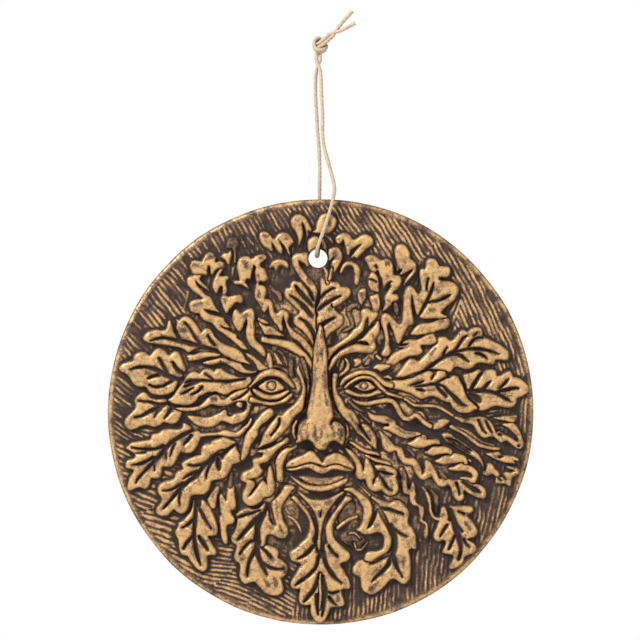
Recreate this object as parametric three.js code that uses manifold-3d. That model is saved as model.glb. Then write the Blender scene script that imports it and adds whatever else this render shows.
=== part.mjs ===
// A round wall plaque with a leaf-faced green man in relief, hung by a loop of twine.
// Millimetres. The plaque stands upright, +Z up, with its face towards -Y and a flat back.
// The origin is in the loop of twine, just under the knot, where a nail would hold it.
import * as THREE from 'three';
import { mergeVertices } from 'three/addons/utils/BufferGeometryUtils.js';
import Module from 'manifold-3d';

const wasm = await Module();
wasm.setup();

// The disc. Its back lies on y = 0 and its ground on y = -plaqueThickness
const plaqueRadius = 90;
const plaqueThickness = 9;
const frontBevel = 1.6;
const backBevel = 1.0;
const rimWidth = 2;
const discSides = 72;

// The hole for the twine, measured from the middle of the disc and from its top edge
const holeRadius = 4;
const holeLeft = 1.2;
const holeInset = 25;
const holeFlare = 0.8;
const holeSides = 16;

// How high each kind of carving stands on the ground of the disc
const budHeight = 2.2;
const underLeafHeight = 2.0;
const leafHeight = 2.5;
const topLeafHeight = 3.0;
const stemHeight = 2.8;
const lidHeight = 3.2;
const lipHeight = 3.6;
const nostrilHeight = 4.4;
const noseHeight = 5.6;

// How the carving is cut: its roots in the disc, its sloping sides and the groove along a rib
const carvingRoot = 1.5;
const sideSlope = 0.6;
const ribGrooveWidth = 1.5;
const ribGrooveDepth = 1.3;
const ribGrooveSteps = 2;
const ribGrooveStart = 0.15;
const ribGrooveEnd = 0.88;

// The least share of a stem's half width that is left at its top
const thinnestTop = 0.4;

// The edge of a leaf. A vein leaves the rib at about veinAngle, the nearer to its lobe the
// better, and the lobe's round end turns lobeTurn each way. A notch between two lobes starts from
// the rib a little nearer the stalk (notchLean) and reaches this share of the way out. The radii
// in the table are those of the lobes' shiny tops, and the cut edge is fuller than they are
const ribSteps = 40;
const veinAngle = 45;
const reachCost = 0.35;
const lobeTurn = 60;
const notchLean = 0.85;
const notchReach = 0.68;
const lobeFullness = 1.25;
const tipRadius = 2.0;

// A leaf's stalk, which is bare until this many lobe radii before the first vein. It is drawn
// with a bend when it takes up more than longStalk steps of the rib
const stalkWidth = 2.6;
const lobeBase = 1.6;
const longStalk = 8;

// The twine
const twineDiameter = 1.6;
const twineSides = 8;
const loopSteps = 44;
const tailSteps = 4;
const twineGap = 0.5;
const knotRise = 65.5;
const knotX = -0.3;
const knotY = -1.9;
const knotWidth = 7;
const knotDepth = 5.4;
const knotHeight = 6.8;
const knotSides = 10;

// The nail, from the middle of the disc to the left and from the knot's middle down
const nailLeft = 1.1;
const nailBelowKnot = 5.5;

// The carving is drawn on a disc of this radius, x to the right and z up from its middle
const drawnRadius = 90;

// Leaves, the lowest first: height, rib from stalk to tip, and the end of each lobe with the
// radius of its round end
const leaves = {
  left_2: [underLeafHeight, [[-57, 15], [-65, 16.2], [-74, 19], [-84, 19]],
    [[-61, 25.2, 1.9], [-68.8, 26.6, 2.1], [-76.5, 25, 2.1], [-77.5, 11.3, 2.2], [-70, 7.6, 2.4], [-62.5, 10.5, 1.6]]],
  left_4: [underLeafHeight, [[-52, 2], [-61, 2], [-70, 1], [-82, -6]],
    [[-76, 8.3, 1.5], [-79, 3.2, 1.6], [-62.5, -4.5, 1.8], [-71, -5.6, 1.9]]],
  left_6: [underLeafHeight, [[-44, -7], [-57, -8.7], [-65.5, -14], [-73, -23], [-80.5, -32.8]],
    [[-71.5, -9.2, 1.5], [-82, -14.5, 1.8], [-82.3, -22.3, 1.7],
      [-55.5, -17.3, 2.6], [-64, -22.7, 2.2], [-69.5, -27.6, 1.9], [-75, -31.8, 1.7]]],
  left_hidden: [underLeafHeight, [[-42, -29], [-42.5, -42], [-40.3, -55]],
    [[-46.5, -40.3, 1.4], [-36.5, -40.5, 1.5], [-37, -47, 1.6]]],
  left_8: [leafHeight, [[-52, -35.5], [-53, -47], [-52, -56], [-49.5, -67.3]],
    [[-60.3, -46, 1.7], [-61.3, -52.5, 2.0], [-59, -60, 2.0], [-44.5, -51.8, 1.9], [-44.6, -60.2, 2.0]]],
  left_1: [leafHeight, [[-30, 19.5], [-43, 25.2], [-55, 29], [-75, 31.5]],
    [[-64, 39.8, 1.2], [-59, 40.2, 1.9], [-49.5, 35.6, 2.0], [-66, 29, 1.0], [-56.5, 23.6, 1.4], [-49, 20.5, 1.4]]],
  crown_1: [leafHeight, [[-27, 20], [-36, 32], [-42.5, 43], [-47, 67]],
    [[-50.4, 40.6, 1.4], [-55.8, 45.4, 2.2], [-56.9, 56.4, 1.5], [-55, 63.2, 2.2],
      [-33, 48, 2.4], [-38.8, 56.2, 1.3], [-41.2, 63.6, 1.4]]],
  crown_2: [leafHeight, [[-3, 22.5], [-12, 32.5], [-21, 38], [-27, 48], [-27.5, 66]],
    [[-15.3, 43.3, 1.9], [-20.3, 48, 1.4], [-22.6, 53.4, 0.9], [-22.6, 58.8, 1.5],
      [-35.2, 63, 2.8], [-26.5, 37.5, 1.8]]],
  right_2: [underLeafHeight, [[60, 8], [68, 9.3], [77, 10], [87.5, 9.6]],
    [[68, 18, 1.4], [72.3, 18, 2.0], [79.5, 17.3, 2.0], [81, 2.7, 2.0], [69, 0.8, 1.8]]],
  right_5: [underLeafHeight, [[50, -8.5], [60, -13], [69, -18], [81, -27.5]],
    [[83, -20, 1.4], [69.5, -26.6, 1.7], [76, -30.5, 1.8]]],
  right_4: [underLeafHeight, [[52, 0], [64, -2.5], [73, -6], [85.3, -14.5]],
    [[82.5, -1.2, 1.4], [84, -6.5, 1.4], [66.5, -10, 1.9], [75.5, -12.6, 1.8]]],
  right_hidden: [underLeafHeight, [[35, -20], [39, -31], [42, -41], [44.5, -54]],
    [[35.5, -34.5, 1.4], [39.5, -39.5, 1.3]]],
  right_8: [leafHeight, [[42, -25], [51, -35], [55.5, -44], [58, -55], [55.5, -66]],
    [[49.5, -46, 1.8], [47.5, -54.5, 1.8], [51.7, -60.4, 1.8], [64.3, -41.3, 1.8], [66, -51.8, 2.0], [65.5, -58.5, 1.8]]],
  right_1: [leafHeight, [[29, 15], [42, 17], [52, 23], [62, 26.4], [79, 23.3]],
    [[43, 24, 2.0], [50.5, 32, 2.2], [60.5, 34.8, 2.0], [67.3, 36, 2.3], [61.5, 18, 2.0], [73.3, 20.7, 1.9]]],
  crown_5: [leafHeight, [[24, 20], [31, 27], [37, 36], [43, 46], [47, 65]],
    [[43, 25.6, 1.9], [49, 32.4, 1.9], [54.2, 38.5, 2.3], [58, 52.5, 3.4], [54.5, 60, 2.8],
      [41.8, 60, 1.9], [37.5, 53.3, 2.3]]],
  crown_4: [leafHeight, [[3, 26], [13, 32], [21, 40], [26, 50], [28, 65]],
    [[17.3, 43.8, 1.8], [21, 49.8, 1.6], [20, 57.3, 2.0], [18.5, 65.8, 2.0], [33, 48, 1.8], [34.2, 56.5, 2.2]]],
  left_3: [stemHeight, [[-28, 13.2], [-41, 13.4], [-50, 12.6], [-64.5, 5]],
    [[-42.5, 18.2, 1.7], [-49, 18.2, 1.7], [-57, 16.8, 2.2], [-53, 3.2, 2.6], [-40, 7.8, 1.7]]],
  right_3: [stemHeight, [[28, 12.8], [40, 11.6], [50, 11.2], [56, 7.4], [65.5, 0.3]],
    [[45.5, 17.6, 1.7], [52.5, 17.6, 1.9], [58.5, 15.3, 2.1], [42.5, 5.8, 1.8], [57.5, 0, 2.2]]],
  left_7: [stemHeight, [[-28, -4], [-38, -12], [-46, -19.5], [-56, -28], [-67.5, -43.5]],
    [[-42.5, -9.6, 1.4], [-50.5, -14.7, 1.8], [-59, -22, 2.0], [-68.8, -31.5, 2.3],
      [-35, -21.5, 2.6], [-42, -28.6, 2.4], [-50.5, -34.7, 2.5], [-59, -42.3, 2.4]]],
  right_7: [stemHeight, [[22, -3], [34, -12], [44, -18.5], [54, -26.5], [69.5, -35]],
    [[44.5, -9.8, 1.7], [50.5, -13, 1.8], [55.5, -17.5, 1.7], [66.5, -27, 2.1],
      [27, -15.7, 2.0], [34.5, -20.5, 1.8], [42.5, -28.3, 2.3], [50.5, -31.5, 1.8], [58.8, -37, 1.9]]],
  left_5: [leafHeight, [[-29, 9], [-38, 3], [-48, 0.8], [-57, -1.8]],
    [[-37, -4.6, 2.8], [-49.5, -6.2, 3.0], [-45, 6, 1.3]]],
  beard_left: [stemHeight, [[-12, -32.5], [-21, -38], [-26.5, -46], [-28, -57], [-19.5, -77]],
    [[-36, -43.5, 2.2], [-37.6, -55, 2.2], [-36, -63, 2.2], [-32, -72, 2.3], [-15, -52.5, 2.6], [-14.6, -67, 2.4]]],
  beard_right: [stemHeight, [[12, -32.5], [21, -37.5], [27, -45], [31, -57], [35.5, -72]],
    [[38, -44, 3.0], [40, -55, 2.6], [16, -62.5, 2.6], [14, -69, 2.6], [20.5, -76.5, 3.0], [19, -51, 1.6]]],
  cheek_left: [lidHeight, [[-15, -15.5], [-21.5, -21], [-25, -27], [-31, -39]],
    [[-28.8, -21, 1.8], [-34, -26.5, 2.0], [-20.5, -35.5, 2.2]]],
  cheek_right: [lidHeight, [[11, -14], [18, -20], [23.5, -26], [31, -34.8]],
    [[27.5, -18.5, 1.4], [32, -25.5, 2.0], [21.5, -33.5, 2.4]]],
  beard_middle: [topLeafHeight, [[0, -44], [0, -60], [0, -87.5]],
    [[-13.2, -60.6, 1.9], [-12.5, -74, 2.2], [-8.8, -81, 2.0], [12, -61, 1.9], [12.2, -74, 2.2], [9.6, -81.5, 2.0]]],
  crown_3: [topLeafHeight, [[-0.6, 22], [-1.8, 36], [-1.2, 48], [-0.5, 60]],
    [[-11.3, 41, 2.0], [-15, 52.5, 1.9], [-11, 67, 2.0], [9.6, 40.5, 3.0], [12.7, 51.5, 2.2], [7, 69, 2.4]]],
};

// Stems, buds and the face, the lowest first: height, and the line that each follows with its
// half width at every point
const strokes = {
  top_loop_left: [budHeight, [[-9.4, 73, 0.9], [-9.9, 76, 1.5], [-9.8, 80, 2.8]]],
  top_bud: [budHeight, [[0.6, 76.5, 1.5], [2.2, 80, 3.9]]],
  bud_over_hole: [budHeight, [[-3.1, 70.6, 1.6], [-3, 72.4, 2.2]]],
  fork_left_a: [budHeight, [[-23.4, 73.6, 2.3], [-20.8, 68.6, 0.8]]],
  fork_left_b: [budHeight, [[-18, 73.4, 1.2], [-15.6, 73.6, 1.8], [-13.6, 71.6, 1.6], [-13.2, 67, 0.6]]],
  fork_right_a: [budHeight, [[7.4, 72, 1.4], [10.4, 73.2, 1.9]]],
  fork_right_b: [budHeight, [[11.6, 68, 0.9], [11.2, 72.4, 1.9]]],
  fork_right_c: [budHeight, [[12.6, 71.4, 1.2], [16.5, 72.6, 1.8], [19, 71.6, 2.5]]],
  fork_right_d: [budHeight, [[14.2, 66, 1.1], [18.4, 70.4, 2.1]]],
  arc_right: [budHeight, [[8.6, 59.3, 0.7], [10.4, 62, 1.0], [13.2, 62.7, 1.2], [15.4, 60.5, 1.2], [15, 54.8, 0.8]]],
  bud_left: [budHeight, [[-37.4, 66.5, 1.5], [-37, 71.4, 2.3]]],
  bud_right: [budHeight, [[35.6, 61.5, 2.4], [34.6, 67.2, 3.0]]],
  berry_right: [budHeight, [[14.2, -53.6, 2.4], [16.2, -55.2, 2.8]]],
  hook_left: [leafHeight, [[-20.6, 19.3, 1.2], [-24.5, 24.5, 1.8], [-29, 29, 1.9], [-30.2, 34.5, 1.8], [-30, 40, 1.8],
    [-32.4, 42.2, 1.6], [-34.8, 40.5, 1.5], [-35, 36.5, 0.9]]],
  finger_right_a: [leafHeight, [[28, 24, 1.0], [29, 30, 1.8], [27.8, 39.6, 1.9]]],
  finger_right_b: [leafHeight, [[28.8, 38, 1.5], [30.2, 36, 1.4], [32.3, 31.5, 0.9]]],
  cheek_left_outer: [leafHeight, [[-20.5, 0.4, 0.9], [-30, -9, 2.2], [-34.6, -20.5, 1.4]]],
  cheek_right_outer: [leafHeight, [[12.8, 0.6, 0.9], [15.8, -3, 1.7], [20, -7.4, 2.4], [23.6, -15.5, 1.0]]],
  cheek_left_inner: [stemHeight, [[-9.8, 18, 1.0], [-7.4, 12, 1.6], [-8.6, 4, 2.1], [-13, -3, 3.0], [-19, -9, 2.6], [-26.4, -15.6, 0.9]]],
  cheek_right_inner: [stemHeight, [[7.4, 17.5, 0.9], [5.9, 12, 1.2], [6.4, 6, 1.5], [9.6, -1.4, 1.9], [14, -6.6, 2.0], [22.6, -15.6, 0.9]]],
  brow_left: [stemHeight, [[-3.2, 21, 1.8], [-7.5, 26, 2.0], [-14.5, 30, 2.0], [-24, 31.2, 1.8]]],
  brow_right: [stemHeight, [[3, 21, 1.6], [6.5, 25.4, 1.8], [12, 27.4, 1.8], [19, 27, 1.8], [22.6, 29, 1.8], [24, 34, 1.3]]],
  moustache_left: [stemHeight, [[-9.8, -14.4, 0.9], [-15, -17, 1.7], [-18, -21.5, 1.8], [-17.6, -28.6, 1.2]]],
  moustache_right: [stemHeight, [[10, -14.6, 0.9], [13.8, -18.2, 1.7], [16.4, -23, 1.8], [17, -27.6, 1.2]]],
  eye_left: [underLeafHeight, [[-25.6, 10.6, 1.2], [-20.4, 11.1, 3.4], [-15.6, 10.6, 1.2]]],
  eye_right: [underLeafHeight, [[13.8, 10.4, 0.9], [18.8, 10.9, 3.1], [23.6, 10.3, 0.9]]],
  bag_right: [stemHeight, [[15, 5, 0.9], [24, 4.6, 1.3], [31, 3.4, 1.5], [36, -1.6, 1.8], [43.5, -4.2, 1.9], [53.4, -3.9, 1.0]]],
  fold_right: [stemHeight, [[8.7, 11.9, 0.8], [13, 16, 1.0], [18.5, 17.5, 1.0], [24.5, 15.2, 1.2], [36, 12, 1.4]]],
  lid_left: [lidHeight, [[-29.6, 9.6, 0.9], [-26, 14.4, 1.4], [-20.6, 16.8, 1.6], [-15.6, 15.2, 1.5], [-11.8, 11, 1.1]]],
  lid_right: [lidHeight, [[9.7, 11.4, 0.8], [13.6, 14.1, 0.8], [18.5, 15.1, 0.9], [23, 13.4, 0.8], [28, 9.4, 0.8],
    [40, 3.4, 0.8], [55, -1, 0.8]]],
  chin: [stemHeight, [[0.2, -34, 6.0], [0.1, -38.5, 4.0], [0, -47, 1.2]]],
  scroll_left: [lidHeight, [[-12, -35.5, 1.0], [-7.4, -40.4, 1.6], [-3.7, -50, 1.7], [-6.2, -55.6, 1.6], [-11.6, -60, 1.4]]],
  scroll_right: [lidHeight, [[12, -35.9, 1.0], [7.2, -40.8, 1.6], [3.4, -50.2, 1.7], [5.6, -55.6, 1.6], [10.6, -60, 1.4]]],
  outer_scroll_left: [lidHeight, [[-11.8, -32.6, 0.9], [-18.4, -39.4, 1.9], [-18.6, -44, 1.7], [-15.8, -50.4, 1.8]]],
  outer_scroll_right: [lidHeight, [[11.6, -33, 0.9], [19.2, -39, 1.9], [19.7, -44, 1.7], [17, -49.6, 1.5]]],
  lower_lip: [lipHeight, [[-12.6, -27.2, 0.9], [-8.6, -30, 1.6], [0.4, -31.3, 2.2], [8.4, -30, 1.6], [12.2, -27.6, 0.9]]],
  upper_lip_left: [lipHeight, [[-14.4, -22.4, 0.9], [-9.5, -20.6, 2.3], [-5, -19.4, 3.1], [0.3, -21.8, 1.4]]],
  upper_lip_right: [lipHeight, [[14.2, -22.6, 0.9], [9.7, -20.6, 2.3], [5.6, -19.4, 3.1], [0.5, -21.8, 1.4]]],
  nose_side: [nostrilHeight, [[-0.3, 24, 2.6], [-0.2, 12, 3.4], [0, 2, 5.0], [0.2, -5, 6.0], [0.4, -10, 5.4], [0.5, -13, 3.2]]],
  nostril_left: [nostrilHeight, [[-9.6, -10.4, 2.2], [-8, -7.6, 3.6], [-3.5, -8, 3.0]]],
  nostril_right: [nostrilHeight, [[9.4, -10.4, 2.0], [7.8, -7.8, 3.4], [3.4, -8, 3.0]]],
  nose: [noseHeight, [[-0.3, 24, 1.8], [-0.1, 12, 2.0], [0.2, 0, 2.8], [0.5, -9, 3.4], [0.6, -13.2, 2.2]]],
};

const front = -plaqueThickness;
const holeZ = plaqueRadius - holeInset;
const carvingScale = plaqueRadius / drawnRadius;
const material = (color, roughness, metalness) => new THREE.MeshStandardMaterial({ color, roughness, metalness });
const bronzedClay = material(0xa9824f, 0.5, 0.4);
const jute = material(0xbfa580, 0.9, 0);

// Heights along the twine: above the top of the hole, as a share of the way from there to the
// disc's edge, and as a share of the way from the edge to the knot
const holeTop = holeZ + holeRadius;
const aboveHole = (rise) => holeTop + rise;
const toEdge = (share) => THREE.MathUtils.lerp(holeTop, plaqueRadius, share);
const toKnot = (share) => plaqueRadius + knotRise * share;

// How far out the twine lies: behind the disc, and over the buds in front
const behind = twineDiameter / 2 + twineGap;
const before = front - budHeight - twineDiameter / 2 - twineGap;

// The loop of twine: from inside the knot down behind the disc, through the hole, up over the
// front and back into the knot
const loopRoute = [
  [-1.3, -1.4, toKnot(0.992)], [-1.8, -1.0, toKnot(0.94)], [-2.2, -0.6, toKnot(0.68)],
  [-1.4, -0.1, toKnot(0.45)], [-0.5, 0.5, toKnot(0.25)], [-0.6, behind, toEdge(1)],
  [-0.8, behind, toEdge(0.3)], [-0.9, behind, aboveHole(1.6)], [-1.1, 0.42, aboveHole(-0.8)],
  [-1.3, front * 0.18, aboveHole(-2.4)], [-1.6, front * 0.5, aboveHole(-3.1)],
  [-1.8, front * 0.85, aboveHole(-2.8)], [-1.7, front - 1.9, aboveHole(-1.3)], [-1.1, before, aboveHole(1.4)],
  [0.7, before, toEdge(0.3)], [2.3, before, toEdge(0.53)], [3.9, before + 0.2, toEdge(0.77)],
  [5.1, before + 1.1, toEdge(1)], [5.5, front * 1.15, toKnot(0.1)], [1.1, front * 0.92, toKnot(0.36)],
  [0.7, front * 0.72, toKnot(0.55)], [0.25, front * 0.58, toKnot(0.68)], [-0.3, -3.0, toKnot(0.94)],
  [-0.2, -2.6, toKnot(0.992)],
];

// The two ends of the twine beyond the knot
const longTail = [[1.2, -1.6, toKnot(1.02)], [3.2, -2.0, toKnot(1.05)], [8.2, -3.0, toKnot(1.14)], [13.4, -3.4, toKnot(1.22)]];
const shortTail = [[1.4, -2.4, toKnot(1.01)], [3.8, -3.2, toKnot(1.04)], [9, -4.6, toKnot(1.09)], [14.4, -5.2, toKnot(1.14)]];

function solidFrom(geometry) {
  geometry.deleteAttribute('normal');
  geometry.deleteAttribute('uv');
  const merged = mergeVertices(geometry);
  return new wasm.Manifold(new wasm.Mesh({
    numProp: 3,
    vertProperties: merged.attributes.position.array,
    triVerts: new Uint32Array(merged.index.array),
  }));
}

function geometryFrom(solid) {
  const mesh = solid.getMesh();
  const geometry = new THREE.BufferGeometry();
  geometry.setAttribute('position', new THREE.BufferAttribute(mesh.vertProperties, 3));
  geometry.setIndex(new THREE.BufferAttribute(mesh.triVerts, 1));
  geometry.computeVertexNormals();
  return geometry;
}

// A solid of revolution about the Y axis, from pairs of radius and y that start and end on it
function turned(profile, sides) {
  return solidFrom(new THREE.LatheGeometry(profile.map(([radius, y]) => new THREE.Vector2(radius, y)), sides));
}

// Rings of the same number of points joined into one solid; caps are the triangles of an end
function joined(rings, caps) {
  const count = rings[0].length;
  const index = [];
  for (const [a, b, c] of caps) {
    const last = (rings.length - 1) * count;
    index.push(a, c, b, last + a, last + b, last + c);
  }
  for (let ring = 0; ring < rings.length - 1; ring += 1) {
    for (let i = 0; i < count; i += 1) {
      const a = ring * count + i;
      const b = ring * count + (i + 1) % count;
      index.push(a, b, a + count, b, b + count, a + count);
    }
  }
  const geometry = new THREE.BufferGeometry();
  geometry.setAttribute('position', new THREE.Float32BufferAttribute(rings.flat(2), 3));
  geometry.setIndex(index);
  return solidFrom(geometry);
}

// A piece of the carving: rooted in the disc, with sides that slope in to a flat top. Its
// outline is [x, z] points, anticlockwise
function raised(outline, topOutline, height) {
  const caps = THREE.ShapeUtils.triangulateShape(outline.map(([x, z]) => new THREE.Vector2(x, z)), []);
  const low = outline.map(([x, z]) => [x, front + carvingRoot, z]);
  const high = topOutline.map(([x, z]) => [x, front - height, z]);
  return joined([low, high], caps);
}

// The outline moved in by a distance, each point along the mean of its two edges' normals
function inset(outline, distance) {
  return outline.map(([x, z], i) => {
    const before = outline.at(i - 1);
    const after = outline[(i + 1) % outline.length];
    const length = Math.hypot(after[0] - before[0], after[1] - before[1]);
    return [x - (after[1] - before[1]) / length * distance, z + (after[0] - before[0]) / length * distance];
  });
}

// The direction of a line at one of its points
function heading(line, i) {
  const step = line[Math.min(i + 1, line.length - 1)].clone().sub(line[Math.max(i - 1, 0)]);
  return step.setZ(0).normalize();
}

// The point at a distance to the left of a line's point
function beside(line, i, distance) {
  const ahead = heading(line, i);
  return [line[i].x - ahead.y * distance, line[i].y + ahead.x * distance];
}

// A stem, bud or feature: its sides follow the line at its half width, with a point at each end
function strokeSolid([height, points]) {
  const line = points.map((point) => new THREE.Vector3(...point).multiplyScalar(carvingScale));
  const outline = (sideInset) => {
    const widths = line.map((point) => Math.max(point.z - sideInset, point.z * thinnestTop));
    const right = line.map((point, i) => beside(line, i, -widths[i]));
    const left = line.map((point, i) => beside(line, i, widths[i]));
    const [start, end] = [[0, -1], [line.length - 1, 1]].map(([i, way]) => {
      const ahead = heading(line, i).multiplyScalar(widths[i] * way);
      return [line[i].x + ahead.x, line[i].y + ahead.y];
    });
    return [start, ...right, end, ...left.reverse()];
  };
  return raised(outline(0), outline(sideSlope), height);
}

// Three points round an end of the given radius, whose outermost point and direction are given
function roundEnd(x, z, radius, direction, side) {
  return [lobeTurn, 0, -lobeTurn].map((degrees) => {
    const angle = direction + THREE.MathUtils.degToRad(degrees) * side;
    return [
      x + (Math.cos(angle) - Math.cos(direction)) * radius,
      z + (Math.sin(angle) - Math.sin(direction)) * radius,
    ];
  });
}

// A lobe with the point of the rib where its vein starts, at about the vein angle to its end
function placeLobe(rib, [x, z, radius]) {
  const end = new THREE.Vector3(x, z, 0).multiplyScalar(carvingScale);
  const choices = rib.map((point, root) => {
    const out = end.clone().sub(point).setZ(0);
    const ahead = heading(rib, root);
    const turn = Math.atan2(ahead.x * out.y - ahead.y * out.x, ahead.dot(out));
    const misfit = Math.abs(Math.abs(THREE.MathUtils.radToDeg(turn)) - veinAngle);
    const cost = misfit + out.length() / carvingScale * reachCost;
    return { root, side: Math.sign(turn), direction: Math.atan2(out.y, out.x), reach: out.length(), cost };
  });
  const chosen = choices.reduce((best, choice) => (choice.cost < best.cost ? choice : best));
  const nearest = choices.reduce((best, choice) => (choice.reach < best.reach ? choice : best)).root;
  return { ...chosen, nearest, end, radius: radius * lobeFullness * carvingScale };
}

// The groove along a leaf's rib: a bar with its edge down and its flat side above the leaf
function ribGroove(rib, height) {
  const rings = [];
  for (let step = 0; step <= ribGrooveSteps; step += 1) {
    const i = Math.round(THREE.MathUtils.lerp(ribGrooveStart, ribGrooveEnd, step / ribGrooveSteps) * ribSteps);
    const [left, right] = [beside(rib, i, ribGrooveWidth / 2), beside(rib, i, -ribGrooveWidth / 2)];
    rings.push([
      [rib[i].x, front - height + ribGrooveDepth, rib[i].y],
      [left[0], front - height - ribGrooveDepth, left[1]],
      [right[0], front - height - ribGrooveDepth, right[1]],
    ]);
  }
  return joined(rings, [[0, 1, 2]]);
}

// A leaf: its lobed edge is worked out on each side from the rib. Its rib is a groove, but for the
// lowest leaves
function leafSolid([height, ribPoints, lobeEnds]) {
  const rib = new THREE.CatmullRomCurve3(ribPoints.map(([x, z]) => new THREE.Vector3(x * carvingScale, z * carvingScale)))
    .getPoints(ribSteps);
  const lobes = lobeEnds.map((lobe) => placeLobe(rib, lobe));
  const tip = rib[ribSteps];
  const tipHeading = heading(rib, ribSteps);
  const ribStep = rib[1].distanceTo(rib[0]);
  const sides = [1, -1].map((side) => {
    const besideRib = (i) => beside(rib, i, stalkWidth / 2 * side);
    const own = lobes.filter((lobe) => lobe.side === side).sort((a, b) => a.nearest - b.nearest);
    const waist = own.length > 0 ? own[0].root - Math.round(own[0].radius * lobeBase / ribStep) : ribSteps / 2;
    const points = [besideRib(0)];
    if (waist > longStalk) points.push(besideRib(Math.round(waist / 2)));
    if (waist > 1) points.push(besideRib(waist));
    own.forEach(({ nearest, end, radius, direction }, n) => {
      const next = own[n + 1] ?? { nearest: ribSteps, end: tip };
      const near = rib[Math.round((nearest + next.nearest) / 2 * notchLean)];
      const middle = end.clone().add(next.end).multiplyScalar(0.5);
      const notch = near.clone().lerp(middle, notchReach);
      points.push(...roundEnd(end.x, end.y, radius, direction, side), [notch.x, notch.y]);
    });
    return points;
  });
  const tipPoints = roundEnd(tip.x, tip.y, tipRadius, Math.atan2(tipHeading.y, tipHeading.x), 1);
  const outline = [...sides[0], ...tipPoints, ...sides[1].reverse()].reverse();
  const leaf = raised(outline, inset(outline, sideSlope), height);
  return height > underLeafHeight ? leaf.subtract(ribGroove(rib, height)) : leaf;
}

// The disc, with a rounded edge to its face
const edge = [0, 0.5, 1].map((share) => [
  plaqueRadius - frontBevel * (1 - Math.sin(share * Math.PI / 2)),
  front + frontBevel * (1 - Math.cos(share * Math.PI / 2)),
]);
const disc = turned([
  [0, front], ...edge, [plaqueRadius, -backBevel], [plaqueRadius - backBevel, 0], [0, 0],
], discSides);

// The hole goes through the carving too, and flares at both faces
const wide = holeRadius + holeFlare;
const clear = front - noseHeight;
const hole = turned([
  [0, clear], [wide, clear], [wide, front], [holeRadius, front + holeFlare],
  [holeRadius, -holeFlare], [wide, 0], [wide, holeFlare], [0, holeFlare],
], holeSides).translate([-holeLeft, 0, holeZ]);

// The carving is trimmed to leave the rim plain
const carvedRadius = plaqueRadius - rimWidth;
const trim = turned([
  [0, clear], [carvedRadius, clear], [carvedRadius, front + carvingRoot], [0, front + carvingRoot],
], discSides);

const pieces = [...Object.values(leaves).map(leafSolid), ...Object.values(strokes).map(strokeSolid)];
const carving = wasm.Manifold.union(pieces).intersect(trim);
const plaque = new THREE.Mesh(geometryFrom(disc.add(carving).subtract(hole)), bronzedClay);
plaque.name = 'plaque';

// A length of twine along a route
function twineSolid(route, steps) {
  const section = new THREE.Shape(Array.from({ length: twineSides }, (_, side) => {
    const angle = side / twineSides * 2 * Math.PI;
    return new THREE.Vector2(Math.cos(angle), Math.sin(angle)).multiplyScalar(twineDiameter / 2);
  }));
  const extrudePath = new THREE.CatmullRomCurve3(route.map((point) => new THREE.Vector3(...point)), false, 'centripetal');
  return solidFrom(new THREE.ExtrudeGeometry(section, { steps, extrudePath, bevelEnabled: false }));
}

const knot = new THREE.SphereGeometry(0.5, knotSides, knotSides / 2);
knot.scale(knotWidth, knotDepth, knotHeight);
knot.translate(knotX, knotY, plaqueRadius + knotRise);
const twine = solidFrom(knot)
  .add(twineSolid(loopRoute, loopSteps))
  .add(twineSolid(longTail, tailSteps))
  .add(twineSolid(shortTail, tailSteps));
const hangingTwine = new THREE.Mesh(geometryFrom(twine), jute);
hangingTwine.name = 'hanging_twine';

// The nail is in the loop, just under the knot
const greenManPlaque = new THREE.Group();
greenManPlaque.name = 'green_man_plaque';
greenManPlaque.add(plaque, hangingTwine);
greenManPlaque.position.set(nailLeft, -knotY, nailBelowKnot - knotRise - plaqueRadius);
greenManPlaque.updateMatrixWorld(true);

export default greenManPlaque;
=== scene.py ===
# %% [markdown]
# # A green man wall plaque
# The real thing is a round clay plaque, cast in a mould, painted dark brown and rubbed with old gold.
# It hangs from a loop of jute twine. The CAD part holds its sizes and its place; this lesson makes
# its looks: a finely carved mesh, the twisted twine, the worn gold finish, and a plain studio.

# %% Load the part that everything is fitted to
import math
import bpy
import numpy as np
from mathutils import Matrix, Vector


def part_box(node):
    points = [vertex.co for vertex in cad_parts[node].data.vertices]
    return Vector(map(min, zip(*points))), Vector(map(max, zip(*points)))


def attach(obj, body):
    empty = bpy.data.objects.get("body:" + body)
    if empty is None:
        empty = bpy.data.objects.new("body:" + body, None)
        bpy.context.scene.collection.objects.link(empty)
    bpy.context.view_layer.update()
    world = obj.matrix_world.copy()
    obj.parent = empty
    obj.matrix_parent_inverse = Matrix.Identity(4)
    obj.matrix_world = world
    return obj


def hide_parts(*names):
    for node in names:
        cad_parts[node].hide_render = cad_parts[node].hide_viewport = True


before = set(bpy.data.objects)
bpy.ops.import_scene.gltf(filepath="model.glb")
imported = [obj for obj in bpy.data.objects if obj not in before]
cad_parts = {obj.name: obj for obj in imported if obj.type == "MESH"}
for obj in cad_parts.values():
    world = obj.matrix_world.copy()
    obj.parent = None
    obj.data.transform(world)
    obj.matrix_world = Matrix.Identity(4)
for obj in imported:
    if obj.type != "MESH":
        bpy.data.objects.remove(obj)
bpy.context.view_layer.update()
MM = 0.001
plaque_low, plaque_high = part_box("plaque")
print("plaque, in mm:", [round(v / MM, 1) for v in (*plaque_low, *plaque_high)])

# %% [markdown]
# The carving is drawn on the disc as seen from the front: x to the right and z up from its middle,
# in millimetres. y is 0 at the wall and falls towards the viewer: the ground of the face is at -9.
# All drawn numbers are in that frame, and one vector moves them to the part's own frame.

# %% Sizes of the plaque
RADIUS = 90.0
THICKNESS = 9.0
FRONT_BEVEL = 1.6
BACK_BEVEL = 1.0
HOLE_X, HOLE_Z = -1.2, 65.0
HOLE_RADIUS = 4.0
HOLE_FLARE = 0.8
DISC_MIDDLE = Vector((0.0011, 0.0019, -0.150))


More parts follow.
